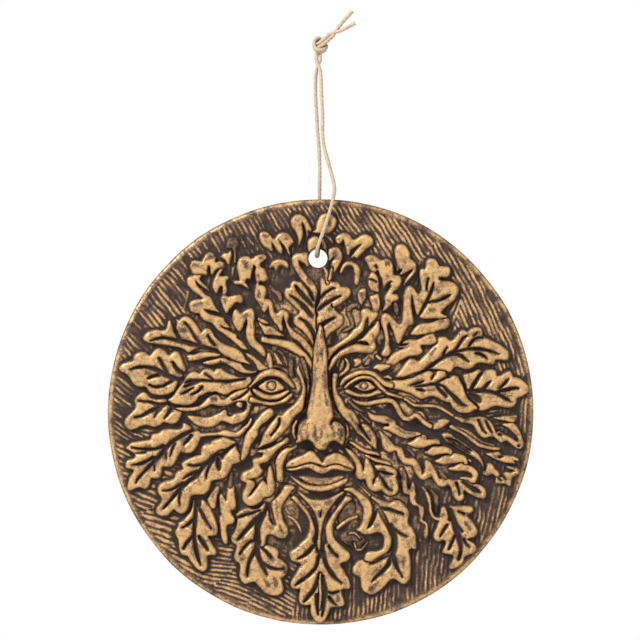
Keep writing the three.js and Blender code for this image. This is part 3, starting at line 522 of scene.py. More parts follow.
# %% Leaves on the left
leaves = [
    ("crown_1", 2.6, 1, """
-56.4,55.5 -56.1,56.7 -55.2,57.3 -53.8,57.6 -53,58.5 -50.6,58.5 -50.7,57.3 -51.2,56.4 -50.1,54.9 -48.7,53.5
-47.6,52 -47.1,51.3 -48.3,52 -49.8,53 -51.6,54.6 -53,56 -52.3,54 -50.9,52 -49.4,50.2 -48.2,49.2 -46.9,48.8
-46,47.7 -45.1,45.5 -44,43.8 -42.9,42.3 -44,42.7 -46.2,43.2 -49.4,43.7 -47.6,42 -45.1,40.9 -41.9,40.1
-40.8,39.4 -39.7,37.6 -38.6,36 -40.4,36 -42.9,37.2 -41.5,35.6 -39,34.4 -37.2,33.4 -35.6,32.6 -35.4,31.2
-33.6,30.1 -32.1,28.3 -31,26.5 -33,26.8 -34.3,27.6 -35.4,28.6 -37.5,30.4 -39.7,32.2 -41.9,33.9 -43.7,35.1
-45.1,36.6 -46.2,37.8 -48.2,38.4 -49.6,39.3 -50.5,40.5 -51.2,42 -53,42 -54.5,42.7 -55.2,43.9 -55.5,45.2
-55.2,46.1 -54.1,47 -52.3,47.4 -50.5,47.5 -49.6,47.9 -50.9,49.2 -53,50.6 -54.8,52.4 -56.1,54""", "",
     "-53.6,45,0.8 -50.6,45.8,0.9"),
    ("crown_1_top", 2.7, 1, """
-55.2,61.4 -55,62.8 -54.2,63.7 -52.8,63.9 -51.4,63.6 -50.2,63.5 -49.6,64.6 -48.9,65.9 -47.8,67 -46.7,67.4
-45.5,66.9 -44.7,65.8 -44.5,64.6 -44.8,63.7 -44.2,63.1 -43.3,63.3 -42.3,63.6 -41.3,63.1 -40.8,62.1 -41.2,61
-42.1,60.4 -43.3,60.8 -44.7,60 -45.6,58.6 -46.2,58.2 -46.5,60 -46.8,61.6 -47.6,61.6 -48,60 -48.2,58.2
-49.4,58 -50.5,58.2 -53.6,58.4 -54.4,59.6""", "",
     "-53.4,61.9,0.8 -51.8,61.5,0.8 / -48.2,64.2,0.5 -46.3,65.3,0.8 / -42.6,62.2,0.4 -42.2,62.4,0.4"),
    ("crown_1_strip", 2.4, 1, """
-42.1,60.6 -41.4,60.2 -42.4,58.8 -42.9,57.6 -41.9,57.3 -40.4,57.4 -39.4,57.4 -39,56.5 -40,55.6 -40,53.8
-39.5,52 -39.9,50.5 -41,49.6 -41.2,51 -41.3,52.8 -41.9,53.5 -42.8,52.8 -43.3,51.7 -43.8,50.4 -44.4,50.1
-45.2,51.7 -45.6,52.9 -45.6,54.4 -45.1,56 -44.6,57.1 -44,58.4 -43,59.8"""),
    ("crown_2", 2.5, 1, """
-42,48.1 -41.7,48.8 -40.4,49.3 -39,48.8 -37.2,49.3 -35.4,49.5 -33.8,49.2 -33.1,48.1 -33.2,46.6
-34.3,46.1 -35.2,46.5 -36.5,46.1 -37.5,44.8 -38.3,43.8 -39,42.7 -39.8,42 -40.4,42.7 -41.1,44.1
-41.9,45.9 -42.2,47.2""", "", "-40.7,47.8,0.4 -40.4,46.8,0.4"),
    ("crown_3", 2.8, 1, """
-37.1,40.5 -36.8,42.3 -35.9,43.4 -34.7,42.7 -33.8,41.6 -32.1,42.7 -30.3,43.6 -28.9,43.6 -28,42.3 -27.9,40.2
-28.4,38 -28,35.8 -28.1,34 -28.2,32.2 -27.6,30.4 -26.4,29 -24.6,27.6 -23.5,25.8 -22.6,24 -24.2,23.6 -26,25
-27.8,26.8 -29.6,28.3 -30.7,30.1 -31.4,31.9 -31.6,33.7 -31.4,35.8 -30.9,37.6 -31.4,39.4 -32.3,38 -32.9,36.2
-33.6,34.8 -34.4,34.2 -35.2,34.9 -36.3,36.6 -37,38.4""", "", "-32.2,40.4,0.5 -30.4,40.8,0.5"),
    ("left_1", 2.6, 1, """
-74.8,31 -74.4,32.4 -72.8,33.8 -70,34.6 -65.8,34.8 -64.7,36.6 -64.2,38.3 -63.6,38.8 -63,37.8 -62.2,35.6
-61.4,33.4 -61.2,32.2 -60.6,36.5 -60.6,39.2 -59.8,38.6 -58.6,39.8 -57,40.3 -55.3,39.8 -53.6,38.2 -52.2,36.5
-51,34.5 -50.4,33.6 -49.5,35 -48,35.4 -46.5,34.8 -45.2,33 -44.3,31.6 -43.3,30.4 -41.1,28.8 -38.6,27.6
-36.1,26.8 -33.9,25.4 -32.5,24 -31.8,22.5 -30.3,21.1 -29.8,20.2 -31.4,20.7 -33.6,21.1 -36.1,21.8 -38.3,22.9
-40.4,24 -41.9,25.4 -44,26.8 -48,27 -52,27.2 -55.8,25.4 -58,26.9 -62,27.9 -66,28.6 -70,29 -73,29.6""", """
-62.8,39.5,0.5 -61.9,36.5,0.55 -60.8,33.2,0.6 -59.5,31,0.6 / -72,30.2,0.2 -67.5,31.4,0.3 -64,31.2,0.4
-60.5,30.4,0.7 -56,29.2,0.8 -52,28.2,0.8 -48,27.2,0.7 -44,26.2,0.6 / -57.3,37.8,0.3 -55.6,36,0.4
-54.3,34,0.45 -52.6,31.2,0.5 -50.8,29.2,0.5 / -47.8,32.6,0.2 -46.4,30.5,0.4 -44.8,28.4,0.5""",
     "-58.2,34.6,0.5 -57,34.2,0.7"),
    ("left_1_lobe", 2.3, 1,
     "-56.2,24 -53,24.4 -50,25.2 -47,25.2 -42.6,24.5 -44,23.7 -48,23.2 -51,22.4 -53.5,22 -55.5,22"),
    ("left_1_band", 2.2, 1, """
-49.8,20.7 -47.6,21.7 -46,22 -43.9,22.6 -42.1,23 -40.3,22.6 -38.8,21.7 -36.3,21 -33.8,20.3 -32,18.6
-30.9,17.7 -28.7,17.2 -26.6,17.4 -28.7,16.5 -30.9,16.5 -33.1,16.7 -34.9,17.6 -36.7,18.6 -38.5,19.8
-40.6,20.9 -42.4,21.2 -44.2,20.5 -46,20""", "", "-42,21.6,0.2 -38,20.6,0.2"),
    ("left_2", 2.6, 1, """
-85,18.5 -83.8,20.3 -81.5,21.3 -79.3,21.8 -78.9,23.6 -77.6,24.8 -75.8,25.3 -74,25 -72.6,24.1 -71.8,24.2
-70.8,25.5 -69.6,26.6 -68.4,26.9 -66.8,26.4 -65.2,25.3 -64.2,24 -63.6,24 -62.8,25 -61.5,25.5 -60.2,25.3
-59.3,24 -58.6,22.2 -58,20.4 -57.2,18.6 -57.4,17.3 -58.8,14.9 -60.6,12.7 -62,9.2 -63.5,8.1 -65.6,7.6
-68,7.3 -70.2,7.5 -72,8.5 -73,9.8 -73.8,10.7 -75.2,10.8 -77.2,11 -78.6,11.8 -79.6,13.2 -80.6,14.8 -82,16.1
-84,17.2""", """
-80.3,18.1,0.15 -77,19,0.4 -73,19.1,0.6 -69,17.8,0.8 -66,16.2,0.9 -63,14.8,0.8 -60,14,0.8 -58,14.6,0.6 /
-68.3,23,0.25 -67.3,21.5,0.5 -66.2,19.2,0.6 -64.9,17,0.6 / -62.5,21.3,0.25 -61.3,19.3,0.5 -59.5,17.3,0.55
-57.8,16.3,0.6 / -72.8,14.4,0.2 -70.5,15.3,0.5 -68,15.9,0.7 / -72.4,11.6,0.2 -70,10.7,0.35 -67,10.9,0.4
-64.5,12.2,0.5 -62.5,13.5,0.6""", "-73.5,16.8,0.5 -71.8,16.7,0.5"),
    ("left_3", 2.7, 1, """
-64.6,5.2 -62.5,6.8 -61,8.8 -59.8,10.6 -58.6,12 -57.4,13.8 -56.6,15.2 -55,16.6 -53.5,17.1 -51.8,16.5
-51,16.2 -50.3,17.2 -49.3,18 -47.5,18.2 -46,17.9 -44.8,17 -44.4,17.8 -43.5,18.3 -42.1,18.3 -40.6,17.2
-38.8,16.3 -36.7,15.6 -34.9,14.8 -31.6,14.6 -29.6,14.7 -29.2,12.4 -30.2,11.1 -31.6,10.3 -34.1,10 -37,9.4
-38.8,8.2 -40.3,7.6 -42.4,8 -44.2,8.9 -46,8.6 -47.5,8.6 -50,7.4 -51.5,6.8 -52.5,5.2 -54.5,3.8 -57,3.1
-60,3.3 -62.5,3.9""", """
-57,12.7,0.3 -55,13.3,0.5 -52,13.4,0.5 -48,13.4,0.4 -43,13.2,0.4 -39.5,12.9,0.6 -36,13.4,0.4 -32,14,0.3 /
-57.6,11,0.3 -54.5,11.9,0.6 -51.5,13.1,0.5 / -59,7.8,0.15 -56,9.3,0.35 -53.8,10.5,0.2 / -54.5,7.7,0.15
-52,8.9,0.35 -50.3,10.8,0.4 / -48.8,16.2,0.15 -46.5,14.8,0.3 -45.3,14,0.3"""),
    ("left_4", 2.1, 1, """
-78.5,4.4 -78.2,5.8 -76.8,7.4 -75,8.4 -74,8.2 -72.6,7 -71.5,5.8 -69,5.2 -66.5,5.6 -65,5.3 -64.6,2.7
-61.7,1.9 -60,1.2 -58.8,0 -59,-1.2 -60,-3 -61.2,-4.4 -63,-4.7 -65,-4.3 -66.3,-4.1 -68,-5.3 -70,-5.9 -72,-5.7
-74,-5.2 -76.2,-5.9 -78,-6.9 -80,-7.2 -81.5,-6.6 -82.5,-5 -82.4,-3 -81.3,-1.5 -79.5,0 -78,2""", """
-76.8,4.8,0.3 -72,4.3,0.4 -69,3.4,0.5 -65.5,3.6,0.5 / -78.3,-2.1,0.3 -75.5,-1.6,0.5 -72.5,0.2,0.6
-69.5,1.5,0.7 -66.5,2.9,0.6 / -70.2,-2,0.2 -69.3,-0.4,0.4 -67.9,1.3,0.6 / -66,-2.6,0.2 -64.8,-0.9,0.45
-63.2,1.4,0.6"""),
    ("left_5", 2.7, 1, """
-61.5,1.7 -59,1.8 -55,1.9 -52,2.6 -50,3.6 -48,5.6 -46,7.1 -44.2,7.4 -42.8,6.8 -42.1,5.6 -40.6,5.4 -39.2,6.4
-37.4,7.8 -35.2,8.9 -32.7,9.5 -30.2,10.3 -29.2,8 -28.4,6.4 -28.4,4.2 -29.3,3.1 -29.8,1.3 -30.5,-0.5
-31.6,-2.3 -33.1,-3.7 -34.9,-4.6 -37,-4.8 -38.8,-4.4 -41.5,-3.5 -42.8,-4.2 -44.2,-5.1 -46,-5.8 -49,-6.2
-51.5,-5.6 -54,-4 -56,-1.6 -52.5,-1.9 -50,-2.2 -47,-2 -44.2,-0.8 -42.4,-0.1 -41,0.8 -40.1,1 -39.5,-0.5
-39.2,-1.5 -37.7,-1.7 -36.7,-0.8 -35.2,-0.4 -33.4,-0.2 -32.3,0.3 -31.6,1.3 -31,3 -31.4,4.7 -33,5 -35.6,4.6
-37.4,4 -39.2,3.3 -41.3,2.8 -43.9,3 -46,3.5 -48,2.6 -50,1.8 -52,1 -55,0.6 -58.5,0.6""",
     "-37,5.2,0.2 -34.5,6.4,0.35 -32,8,0.3 -30.4,9.4,0.2", "-46,5.6,0.6 -44.4,5.8,0.7"),
    ("left_6", 2.4, 1, """
-55,-6 -57.8,-4.6 -58.3,-5.5 -59,-6.8 -61,-7.5 -64,-7.2 -66.5,-7.5 -68.5,-8.8 -70.8,-9.3 -71.5,-10.3
-71.9,-11.5 -74,-11.9 -77,-12.3 -79.5,-12.7 -81,-13.8 -81.9,-15.2 -80.5,-16 -79,-17 -78.2,-17.8 -78.5,-19
-80,-19.9 -81.6,-20.2 -82.4,-21.5 -82.2,-23 -81.2,-23.7 -79.5,-23.9 -78.9,-24.2 -79.2,-25.8 -80.3,-27.2
-81,-29.5 -81.5,-32 -81,-33 -79.3,-32.7 -78,-31.8 -76.5,-31.5 -75,-31.8 -74.3,-32.2 -73.2,-31.5 -72.3,-30
-71.8,-28 -71.2,-27.6 -69.8,-27.9 -68.2,-27.3 -67.5,-25.8 -67.2,-24 -66.9,-22.8 -65.5,-22.9 -63.5,-22.7
-62.1,-21.8 -61.3,-20.3 -60.5,-18.8 -59.3,-17 -58,-16.9 -56,-17.2 -54.5,-16.7 -53.2,-15.3 -52,-13.5
-51,-11.5 -50.3,-10.2 -44,-9.6 -42.1,-9.6 -39.5,-10.2 -37,-10.4 -35.2,-10.2 -33.4,-9.1 -31.6,-7.3 -30.2,-5.5
-29,-3 -29.6,-2.6 -30.5,-4.4 -32.3,-6 -34.1,-7.5 -35.6,-8.4 -37,-8.4 -38.8,-7.7 -40.6,-7.5 -42.1,-8 -44,-8.6
-50,-8.8 -51,-8 -52.8,-7.7 -54,-8.2""", """
-53.5,-7,0.5 -57,-9,0.7 -60.5,-11,0.7 -64,-13.6,0.8 -67.5,-17.8,0.7 -70.5,-20.8,0.7 -73.5,-24,0.5
-76.5,-27.2,0.4 -78,-29.5,0.15 / -79.5,-14.7,0.12 -75.5,-15.5,0.4 -70,-15.5,0.5 -66.5,-14,0.6 /
-79.8,-22.2,0.15 -76,-21.5,0.4 -73,-20.2,0.5 -70.5,-18.8,0.5 / -78,-17.2,0.12 -74,-16.9,0.25 /
-57.6,-13.6,0.2 -56,-11.6,0.4 -54.8,-9.6,0.5 / -63.6,-18.5,0.15 -62.6,-15.5,0.35 -61.4,-13.2,0.5 /
-70.2,-24.6,0.15 -70.2,-22.4,0.4 / -65.2,-20,0.12 -65.3,-17,0.22"""),
    ("left_7", 2.8, 1, """
-36.1,-14.1 -35.6,-15.2 -34.5,-17 -33.9,-18.8 -33.5,-20.1 -34.9,-21 -37.4,-21.9 -37.9,-23.1 -38.8,-25.3
-39.9,-27.1 -41.7,-28.2 -43.9,-28.4 -45.3,-28.5 -46.3,-29 -46.9,-31 -47.6,-33 -49,-34.3 -51,-34.6
-53.5,-34.7 -54.7,-35 -55.5,-37.5 -56,-40 -57,-41.8 -58.5,-42.6 -60.3,-42.2 -61.5,-41 -62.5,-41 -63.8,-42.7
-65.5,-43.7 -67.5,-43.6 -69,-42.6 -69.2,-40.8 -68,-38.8 -67,-37 -67.3,-35.5 -68.3,-34.2 -68.6,-32
-67.6,-30.2 -66,-29.2 -63.5,-28.6 -61.8,-27.8 -61,-26 -59.8,-24.3 -58.2,-23.9 -58.6,-21.8 -57,-20.4
-54.5,-19 -52,-18.4 -50.4,-18 -50.3,-16.5 -50,-14.6 -48.5,-13.5 -46.2,-13.2 -46,-12.2 -44.2,-11.4
-42.8,-11.1 -41.7,-10.6 -40.3,-10.7 -38.1,-11.4 -35.9,-12.5 -37.7,-13.4 -39.2,-14.5 -40.6,-15.4 -42.6,-15.8
-43.6,-17 -42.4,-19 -41.3,-19.8 -40.6,-18.5 -39.2,-16.7 -37.4,-15.2""", """
-41.6,-16.6,0.7 -44,-17.8,0.7 -47,-20.4,0.7 -50.2,-23.8,0.8 -53,-27,0.8 -57,-30,0.7 -60,-33,0.7
-63,-36.5,0.5 -66.3,-40.5,0.2 / -56,-22.2,0.15 -53,-22.6,0.35 -49.5,-21.7,0.5 -47,-20.6,0.5 / -58,-28,0.12
-55.5,-26.2,0.45 -52.5,-25.2,0.7 / -66.5,-33,0.12 -63.5,-32.7,0.35 -60.5,-31,0.5 -58,-29.8,0.5 /
-59.5,-39,0.15 -59.8,-36.5,0.35 -59.2,-33.8,0.5 / -48.3,-28,0.15 -48,-25.5,0.4 -46.8,-22.5,0.5 -45,-20,0.5 /
-43.4,-19.6,0.6 -43.2,-22,0.8 -42.8,-24,0.4"""),
    ("low_1", 2.6, 1, """
-52.8,-36.9 -53.6,-38.3 -54.1,-40.6 -55.1,-42.5 -56.7,-44.1 -58.6,-45.7 -59.9,-46.6 -60.2,-48.2 -61.1,-49.5
-61.5,-50.8 -61,-52.1 -60,-53.4 -59.7,-55.3 -59.7,-57.2 -59.1,-58.8 -58.3,-59.9 -56,-60.6 -55.1,-62
-53.8,-63.9 -52.5,-65.5 -50.9,-66.8 -49.6,-67 -48.3,-66.2 -47.9,-64.6 -48,-62.6 -47.9,-60.7 -46.1,-60.2
-44.8,-60.2 -44.2,-59.1 -44.5,-57.8 -45.5,-56.2 -46.4,-54.6 -47.4,-53 -47.5,-52.1 -45.1,-52.1 -44,-51.4
-43.7,-49.5 -43.9,-47.3 -44.8,-44.7 -45.8,-42.5 -46.8,-40.6 -47.7,-39.3 -48.6,-38 -49.9,-37 -50.4,-38.6
-51,-40.6 -52.2,-40""", """
-52,-35.5,0.6 -52.6,-40,0.7 -53,-46,0.7 -53.4,-51,0.6 -52.9,-56,0.6 -51.8,-61,0.5 -50.6,-64.5,0.2 /
-53.6,-44.8,0.5 -55.6,-46.9,0.5 -58.4,-48.6,0.3 / -54,-52.2,0.5 -56,-54.4,0.6 -58,-57.6,0.3 / -51,-41,0.6
-49,-44.5,0.5 -46.2,-49,0.2 / -51.4,-52.4,0.5 -49.6,-55,0.6 -47.6,-58.2,0.3"""),
    ("low_2", 2.1, 1, """
-43.5,-31.2 -42.9,-32 -43.2,-33.5 -43.9,-35.8 -44,-37.7 -44.3,-39.6 -45.5,-40.7 -46.4,-39.9 -47.1,-38.3
-47.6,-36.7 -46.7,-35.1 -45.1,-32.9""", "", "-45.4,-35.4,0.2 -44.6,-33.4,0.2"),
    ("low_3", 2.3, 1, """
-42.2,-34.6 -42.6,-37 -42.5,-39.6 -42,-42 -41.2,-43.8 -40.4,-45.2 -42.1,-43.4 -42.5,-45.4 -42.3,-47.9
-42.1,-50.8 -41.8,-53 -40.8,-55 -39.7,-55.4 -39.4,-53.7 -39.6,-51.8 -40,-49.8 -39.8,-47.9 -38.7,-47.2
-37.1,-46.8 -36.3,-45.4 -36.8,-44.1 -37.9,-42.5 -38.1,-41.3 -36.8,-41 -35.9,-39.9 -36,-38 -36.3,-34.8
-36.5,-31.9 -37.3,-30.2 -38.2,-29.6 -39.1,-31.6 -39.4,-34.4 -39.8,-37.6 -40.6,-36.6 -41.2,-35.4"""),
]
print(lay_leaves(leaves), "leaves on the left")

# %% [markdown]
# The crest over the forehead, the buds round the hole and the left of the beard come next, in the
# same form. Later shapes lie over earlier ones, so stalks that end under a leaf come before it.

# %% Crest, buds and the left of the beard
leaves = [
    ("crown_4", 2.7, 1, """
-35.1,62.1 -34.8,63.6 -33.9,65 -32.1,65.6 -30.3,65.4 -29.4,64.7 -28.3,65.1 -27.5,65.9 -26,66.5 -24.4,66.6
-23.3,65.9 -23,65 -23.7,64.3 -24.6,63.6 -25.3,63 -25.7,62.1 -25,61.2 -23.9,60.5 -23.1,58.9 -22.6,57.1 -23,56
-24.2,55.3 -25.7,55.3 -26.4,54.6 -26,53.7 -24.4,53.3 -23.3,52.4 -23.1,50.6 -23.7,48.8 -23.5,47.8 -22.1,47.5
-21,46.8 -20.3,45.6 -20.1,43.4 -19.5,42 -18.5,42 -17.4,42.9 -16.1,43.2 -14.9,42.9 -13.8,42 -13.6,40.5
-14,38.4 -13.4,36.6 -12,34.8 -9.7,33 -8,31.9 -6.6,30.6 -5.2,28.8 -3.8,27.1 -2.5,25.7 -2.4,22 -3.2,20
-3.5,21.9 -4.5,24 -5.9,25.7 -7.3,27.4 -8.7,29.2 -10.4,30.4 -12.2,31.6 -13.4,33.5 -14.1,35.5 -14.7,38
-15.4,39.8 -15.8,41.2 -16.3,39.4 -16.5,37.3 -16.1,35.5 -16.3,34.4 -17.2,34.9 -18.3,36.6 -19.9,38.4 -21,40.5
-21.7,42.7 -22.1,44.8 -22.8,43.4 -23.9,42.3 -24.6,43.4 -25.7,45.2 -26.4,46.6 -27.6,48.1 -27.8,50.6
-27.5,53.1 -26.8,54.6 -27.3,55.6 -27.6,57.4 -27.8,59.2 -27.3,61 -28.2,62.1 -28.7,60.7 -29.3,58.2 -29.8,56.4
-30.2,55.5 -30.7,56.4 -31.4,56 -32.1,54.9 -31.1,53.5 -30.3,52 -31.8,52.8 -33.2,53.8 -35,54 -36.5,54.2
-36.8,55.3 -35.4,55.5 -34.1,55.5 -34.3,57.1 -34.8,59.2 -35.1,60.7""", "", """
-31.9,62.8,0.9 -31.6,61.2,0.7 / -25.6,65.2,0.3 -24.6,65.3,0.3 / -26.4,58.4,0.3 -26.2,57,0.3 / -26.2,51.2,0.6
-26,49,0.6 / -25,46,0.5 -24.6,44.8,0.4"""),
    ("temple_1", 1.9, 1, "-26.4,39.9 -24.2,39 -22,37.6 -24,37.6 -26.3,38.6"),
    ("temple_2", 2.3, 1, """
-26.2,38 -24.2,36.7 -22.1,36.2 -19.9,35.5 -17.7,33.7 -15.2,32.1 -17.4,32.2 -19.9,32.6 -22.4,32.6 -23.9,33
-24.8,35.1 -25.7,36.9""", "", "-22,34.4,0.2 -20.8,34.2,0.2"),
    ("brow_left", 3.3, 1, """
-24.9,31.5 -24.2,31.9 -21.7,31.2 -18.8,30.7 -15.8,30.4 -12.9,29.9 -10.8,28.8 -8.7,27.1 -7,25.4 -5.2,23.3
-3.8,21.2 -3,18.6 -3.8,17.2 -4.6,19.4 -5.8,20.9 -7.3,22.5 -9.4,24 -12.2,25.7 -15.6,27.3 -19.1,28.4
-22.6,29.2 -25,29.8"""),
    ("temple_3", 2.1, 1, """
-31.6,24.8 -30.2,24.6 -28,23.3 -25.9,21.5 -24.1,19.7 -22.3,18.3 -25.9,17.6 -26.9,19 -28,21.2
-29.5,22.6"""),
    ("tuft_1", 2, 1,
     "-22.7,25 -21.6,24.9 -20.8,22.6 -20.5,20 -19.9,18.6 -21.6,18.4 -22.1,20.1 -22.9,22.6"),
    ("tuft_2", 2, 1, "-19.8,25 -18.6,24.2 -17.4,22 -16.1,20 -17.6,19.7 -18.5,20.4 -18.9,22.2"),
    ("crest_left", 2.9, 1, """
-5.8,67.1 -8,67.2 -9.9,67 -11.3,66.3 -12.1,65.2 -12.1,63.7 -11.7,62.1 -10.8,60.4 -9.6,58.3 -8.4,56.2
-7.6,54.9 -9.6,55 -10.8,55.5 -11.8,55.2 -12.5,54.1 -12.7,52.9 -13.2,52.4 -14.6,52.2 -15.1,51 -15.1,50
-14.6,48.6 -13.4,47.2 -11.8,45.6 -10.4,44.1 -9,43 -8.8,42.2 -9.7,41 -11.1,40.2 -11.3,38.9 -10.8,37.1
-9.4,35.7 -7.7,34.4 -6.3,33 -4.5,30.9 -3.2,28.5 -2.1,26 -1,26.5 -1.1,28.8 -1.6,32.3 -1.9,36.1 -2.1,39.9
-2.6,43 -2.5,46 -1.8,49.3 -1.8,52.4 -3.5,55.2 -5.2,56.9 -6.6,58.6 -8,60.4 -9.2,62.4 -9.5,64.3 -8.7,63.8
-7,62.9 -5.6,61.7 -5,64""", """
-10.6,53.4,0.2 -9.4,51.6,0.6 -7,48.6,0.7 -4.6,46.2,0.6 -3.2,44.6,0.4 / -12.6,49,0.2 -10.4,47.7,0.4
-8,45.6,0.6 -5.6,43,0.7 -3.6,40.6,0.5 / -8.8,39.6,0.2 -6.8,38.4,0.5 -4.6,36,0.7 -3,33,0.6 -2.2,29.6,0.4 /
-8.6,55.6,0.2 -6.6,53.6,0.3 -4.4,50.4,0.5 -3,47.2,0.4""", "-5.6,56.4,0.3 -4,54.4,0.5"),
    ("crest_right", 2.9, 1, """
0.1,56.2 1.7,56.8 3.2,56.6 4,55 5.5,54.7 7.2,54.6 7.9,53.8 8.5,52.7 10.4,52.7 11.9,52.2 12.6,51.2 12.4,49.8
11.6,48.6 9.7,47.2 7.6,45.6 6,44.8 5.7,43.8 6.6,42.7 7.9,41.3 9,40.6 9.4,39.2 9,37.5 7.6,36.1 5.5,34.7
3.8,33.3 2.6,31.6 2,30.2 1.9,28 1.6,25 -0.6,25 -0.3,28.6 -1.1,31 -1.4,34 -1.7,37 -1.7,39.6 -1,41.3 -1.6,43.4
-1,45 -0.2,47 0.1,49.6 0.1,53""", """
-1,43.4,0.5 1.6,45.6,0.6 5,47.6,0.5 8.4,49.2,0.2 / 0.2,48.4,0.5 1.8,50.4,0.5 4.4,52,0.3 6,52.2,0.1 /
-1.2,34.2,0.4 0.6,36.8,0.6 3.2,38.6,0.5 6,39.9,0.15 / 4.6,45.8,0.15 5,44.4,0.3""",
     "3.4,43.6,0.3 3.4,42.8,0.3"),
    ("hole_bud_right", 2.4, 1, """
3.4,68.6 4.1,69.1 5.9,69.7 7.6,69 8.7,67.3 8.9,65.2 8.1,63.1 6.9,61.1 5.2,58.6 4,56.8 2.6,57 1.4,57 1.9,59
2.6,60.5 2.9,61.8 3.4,64.5 3.4,67""", "2.2,58.6,0.2 3.3,61,0.35 4,63.5,0.35 5.4,65.2,0.2",
     "6,67,0.9 6.4,65.4,0.8"),
    ("hole_bud_left", 2.2, 1,
     "-4.9,67.7 -5.3,70.4 -5.2,72.3 -3.9,73.6 -2.1,73.9 -0.7,73.4 -0.2,72.2 -0.7,70.1 -1.4,69 -3.3,68.5"),
    ("top_bud", 2.4, 1, """
-3.4,76 -2,76.8 -1.8,79 -1.2,81 -0.2,82.7 1.7,83.7 3.8,83.6 5.7,82.4 6.5,80.8 6.1,78.7 4.9,77 3.1,75.7
1.6,75.2 -0.6,75.4""", "", "2.8,80.6,0.8 3.6,79.4,0.8"),
    ("top_left_drop", 2.5, 1, """
-12.6,80.1 -12.2,81.9 -11,83.1 -9,83.4 -7.3,82.7 -5.9,81.3 -5.1,79.6 -4,77.2 -4.3,76.4 -5.4,76.6 -5.5,74
-6,76.4 -7,79.2 -8,80.1 -7.7,78.2 -7.5,76.2 -7.8,74.2 -8.4,72.3 -9.4,70.2 -9.2,72.2 -9.5,74 -10.4,76
-11.8,78""", "", "-10,81,0.4 -9,81.7,0.4"),
    ("top_left_leaf", 2.4, 1, """
-25.7,75.3 -24.6,76 -22.9,76 -21.5,75 -20.3,73.4 -19.4,73.2 -18.6,74.4 -17.4,75.5 -15.6,75.7 -13.9,75.1
-12.7,74.1 -11.6,72.1 -12.4,70.8 -13.7,69.5 -13.4,67.7 -13.1,66.2 -13.9,67.3 -14.8,69.4 -16,70.8 -17.2,72.2
-17.9,72.9 -17,70.8 -16.3,69 -16.5,67.2 -17.2,67 -18.2,68.3 -19.1,69.7 -20.1,71.1 -20.9,71.9 -20.8,70.4
-20.5,68.7 -20.9,68 -22.2,69 -24,70.1 -25.2,71.8 -25.9,73.6""", "",
     "-24.2,74.6,0.3 -22.8,74,0.3 / -14.8,73.3,0.3 -14.2,72.8,0.3"),
    ("top_left_arch", 1.9, 1, """
-21.7,61.1 -21.4,62.1 -20.3,63.5 -18.8,64.1 -17,64.3 -15.3,64 -14.1,63.3 -13.7,62.1 -14.1,61.1 -14.9,61.4
-16,62.1 -17.4,62.1 -18.2,61.1 -18.9,60 -19.4,61.1 -20.5,61.6"""),
    ("top_right_arch", 2.2, 1, """
8.1,58.8 8.3,59.7 9,61.4 10,62.8 11.4,63.5 13.1,63.3 14.9,62.5 16.1,61.2 16.7,59.7 16.4,57.6 16.1,55.9
15.6,54.1 14.9,53.8 14.4,54.8 14.5,56.9 14.4,58.6 14,60.2 13.7,61.4 12.4,62.1 11.1,61.9 10,61.1 9.2,59.7
8.6,58.8"""),
    ("top_right_leaf", 2.5, 1, """
6.2,72.9 6.4,73.9 7.6,74.9 9.3,75.5 11.1,75.3 12.4,74.4 13.1,73.2 14.2,72.7 15.6,73.6 17.3,74.8 19,75
20.6,74.4 21.6,73.4 21.9,72 21.6,70.8 20.1,69.6 18.3,68.3 16.6,66.6 15.4,65.2 13.8,65.7 12.8,65.2 13.4,66.4
14.9,68.3 16.3,69.7 17.3,71.1 14.9,70.2 13.1,69.2 12.3,68.3 11.8,66.6 11.2,66.6 10.7,68.7 10.2,70.8 9.7,73
9.4,73.4 9,72.4 8.3,71.5 7.4,71.1 6.6,71.8""", "", "7.4,73.2,0.3 8,72.4,0.3"),
    ("small_leaf", 1.8, 1,
     "18.7,52.2 17,51.9 15.9,50.7 15.6,48.9 16.1,46.9 17,45.1 17.6,46.2 18.5,47.6 19,49.6 19,51.4", "",
     "17.4,50,0.3 17.2,48.4,0.3"),
    ("crown_right_band", 2.8, 1, """
2.7,27.4 4.5,27.4 6.6,28.5 8.6,29.9 10.4,31.2 12.4,33 14.2,35.1 15.6,36.1 16.6,37.5 17.3,39.2 17,40.9
17.1,42.7 18,43.5 19.4,43.7 20.6,43 21.5,42.3 22.3,43 22.5,44.6 23.9,44.6 23.9,41.3 23.2,39.9 21.8,38.5
20.8,37.1 20.2,36.8 20.4,38.5 20.1,40.2 19.4,39.9 18.7,38.2 18.3,36.4 17.3,34.4 15.6,32.6 13.8,31.2
11.8,29.9 9.7,28.6 7.6,27.4 5.9,25.7 4.1,23.6 3.1,21.9 2.4,20 0.6,21 1,26"""),
    ("brow_right", 3.3, 1, """
2.6,18.4 3.8,20.5 4.8,22.6 6.6,24.3 8.6,26 10.7,27.1 12.8,28.1 15.2,28.8 17.6,28.5 19.7,28.1 21.5,27.8
20.4,28.5 19.4,29.9 17.3,30.2 15.6,30.2 17.6,31.2 19.7,33.7 21.5,35.4 23.2,37.5 23.9,38.5 24.6,37.5 24.6,34
23.5,32.3 23,29.9 23.2,27.8 22.3,26.4 20.8,25.4 18.3,25.2 15.6,25.5 12.8,25.2 10.4,24.5 8.3,23.6 6.6,22.2
5.2,20 3.6,17.4""", "", "21.6,33,0.5 22.6,30.4,0.5"),
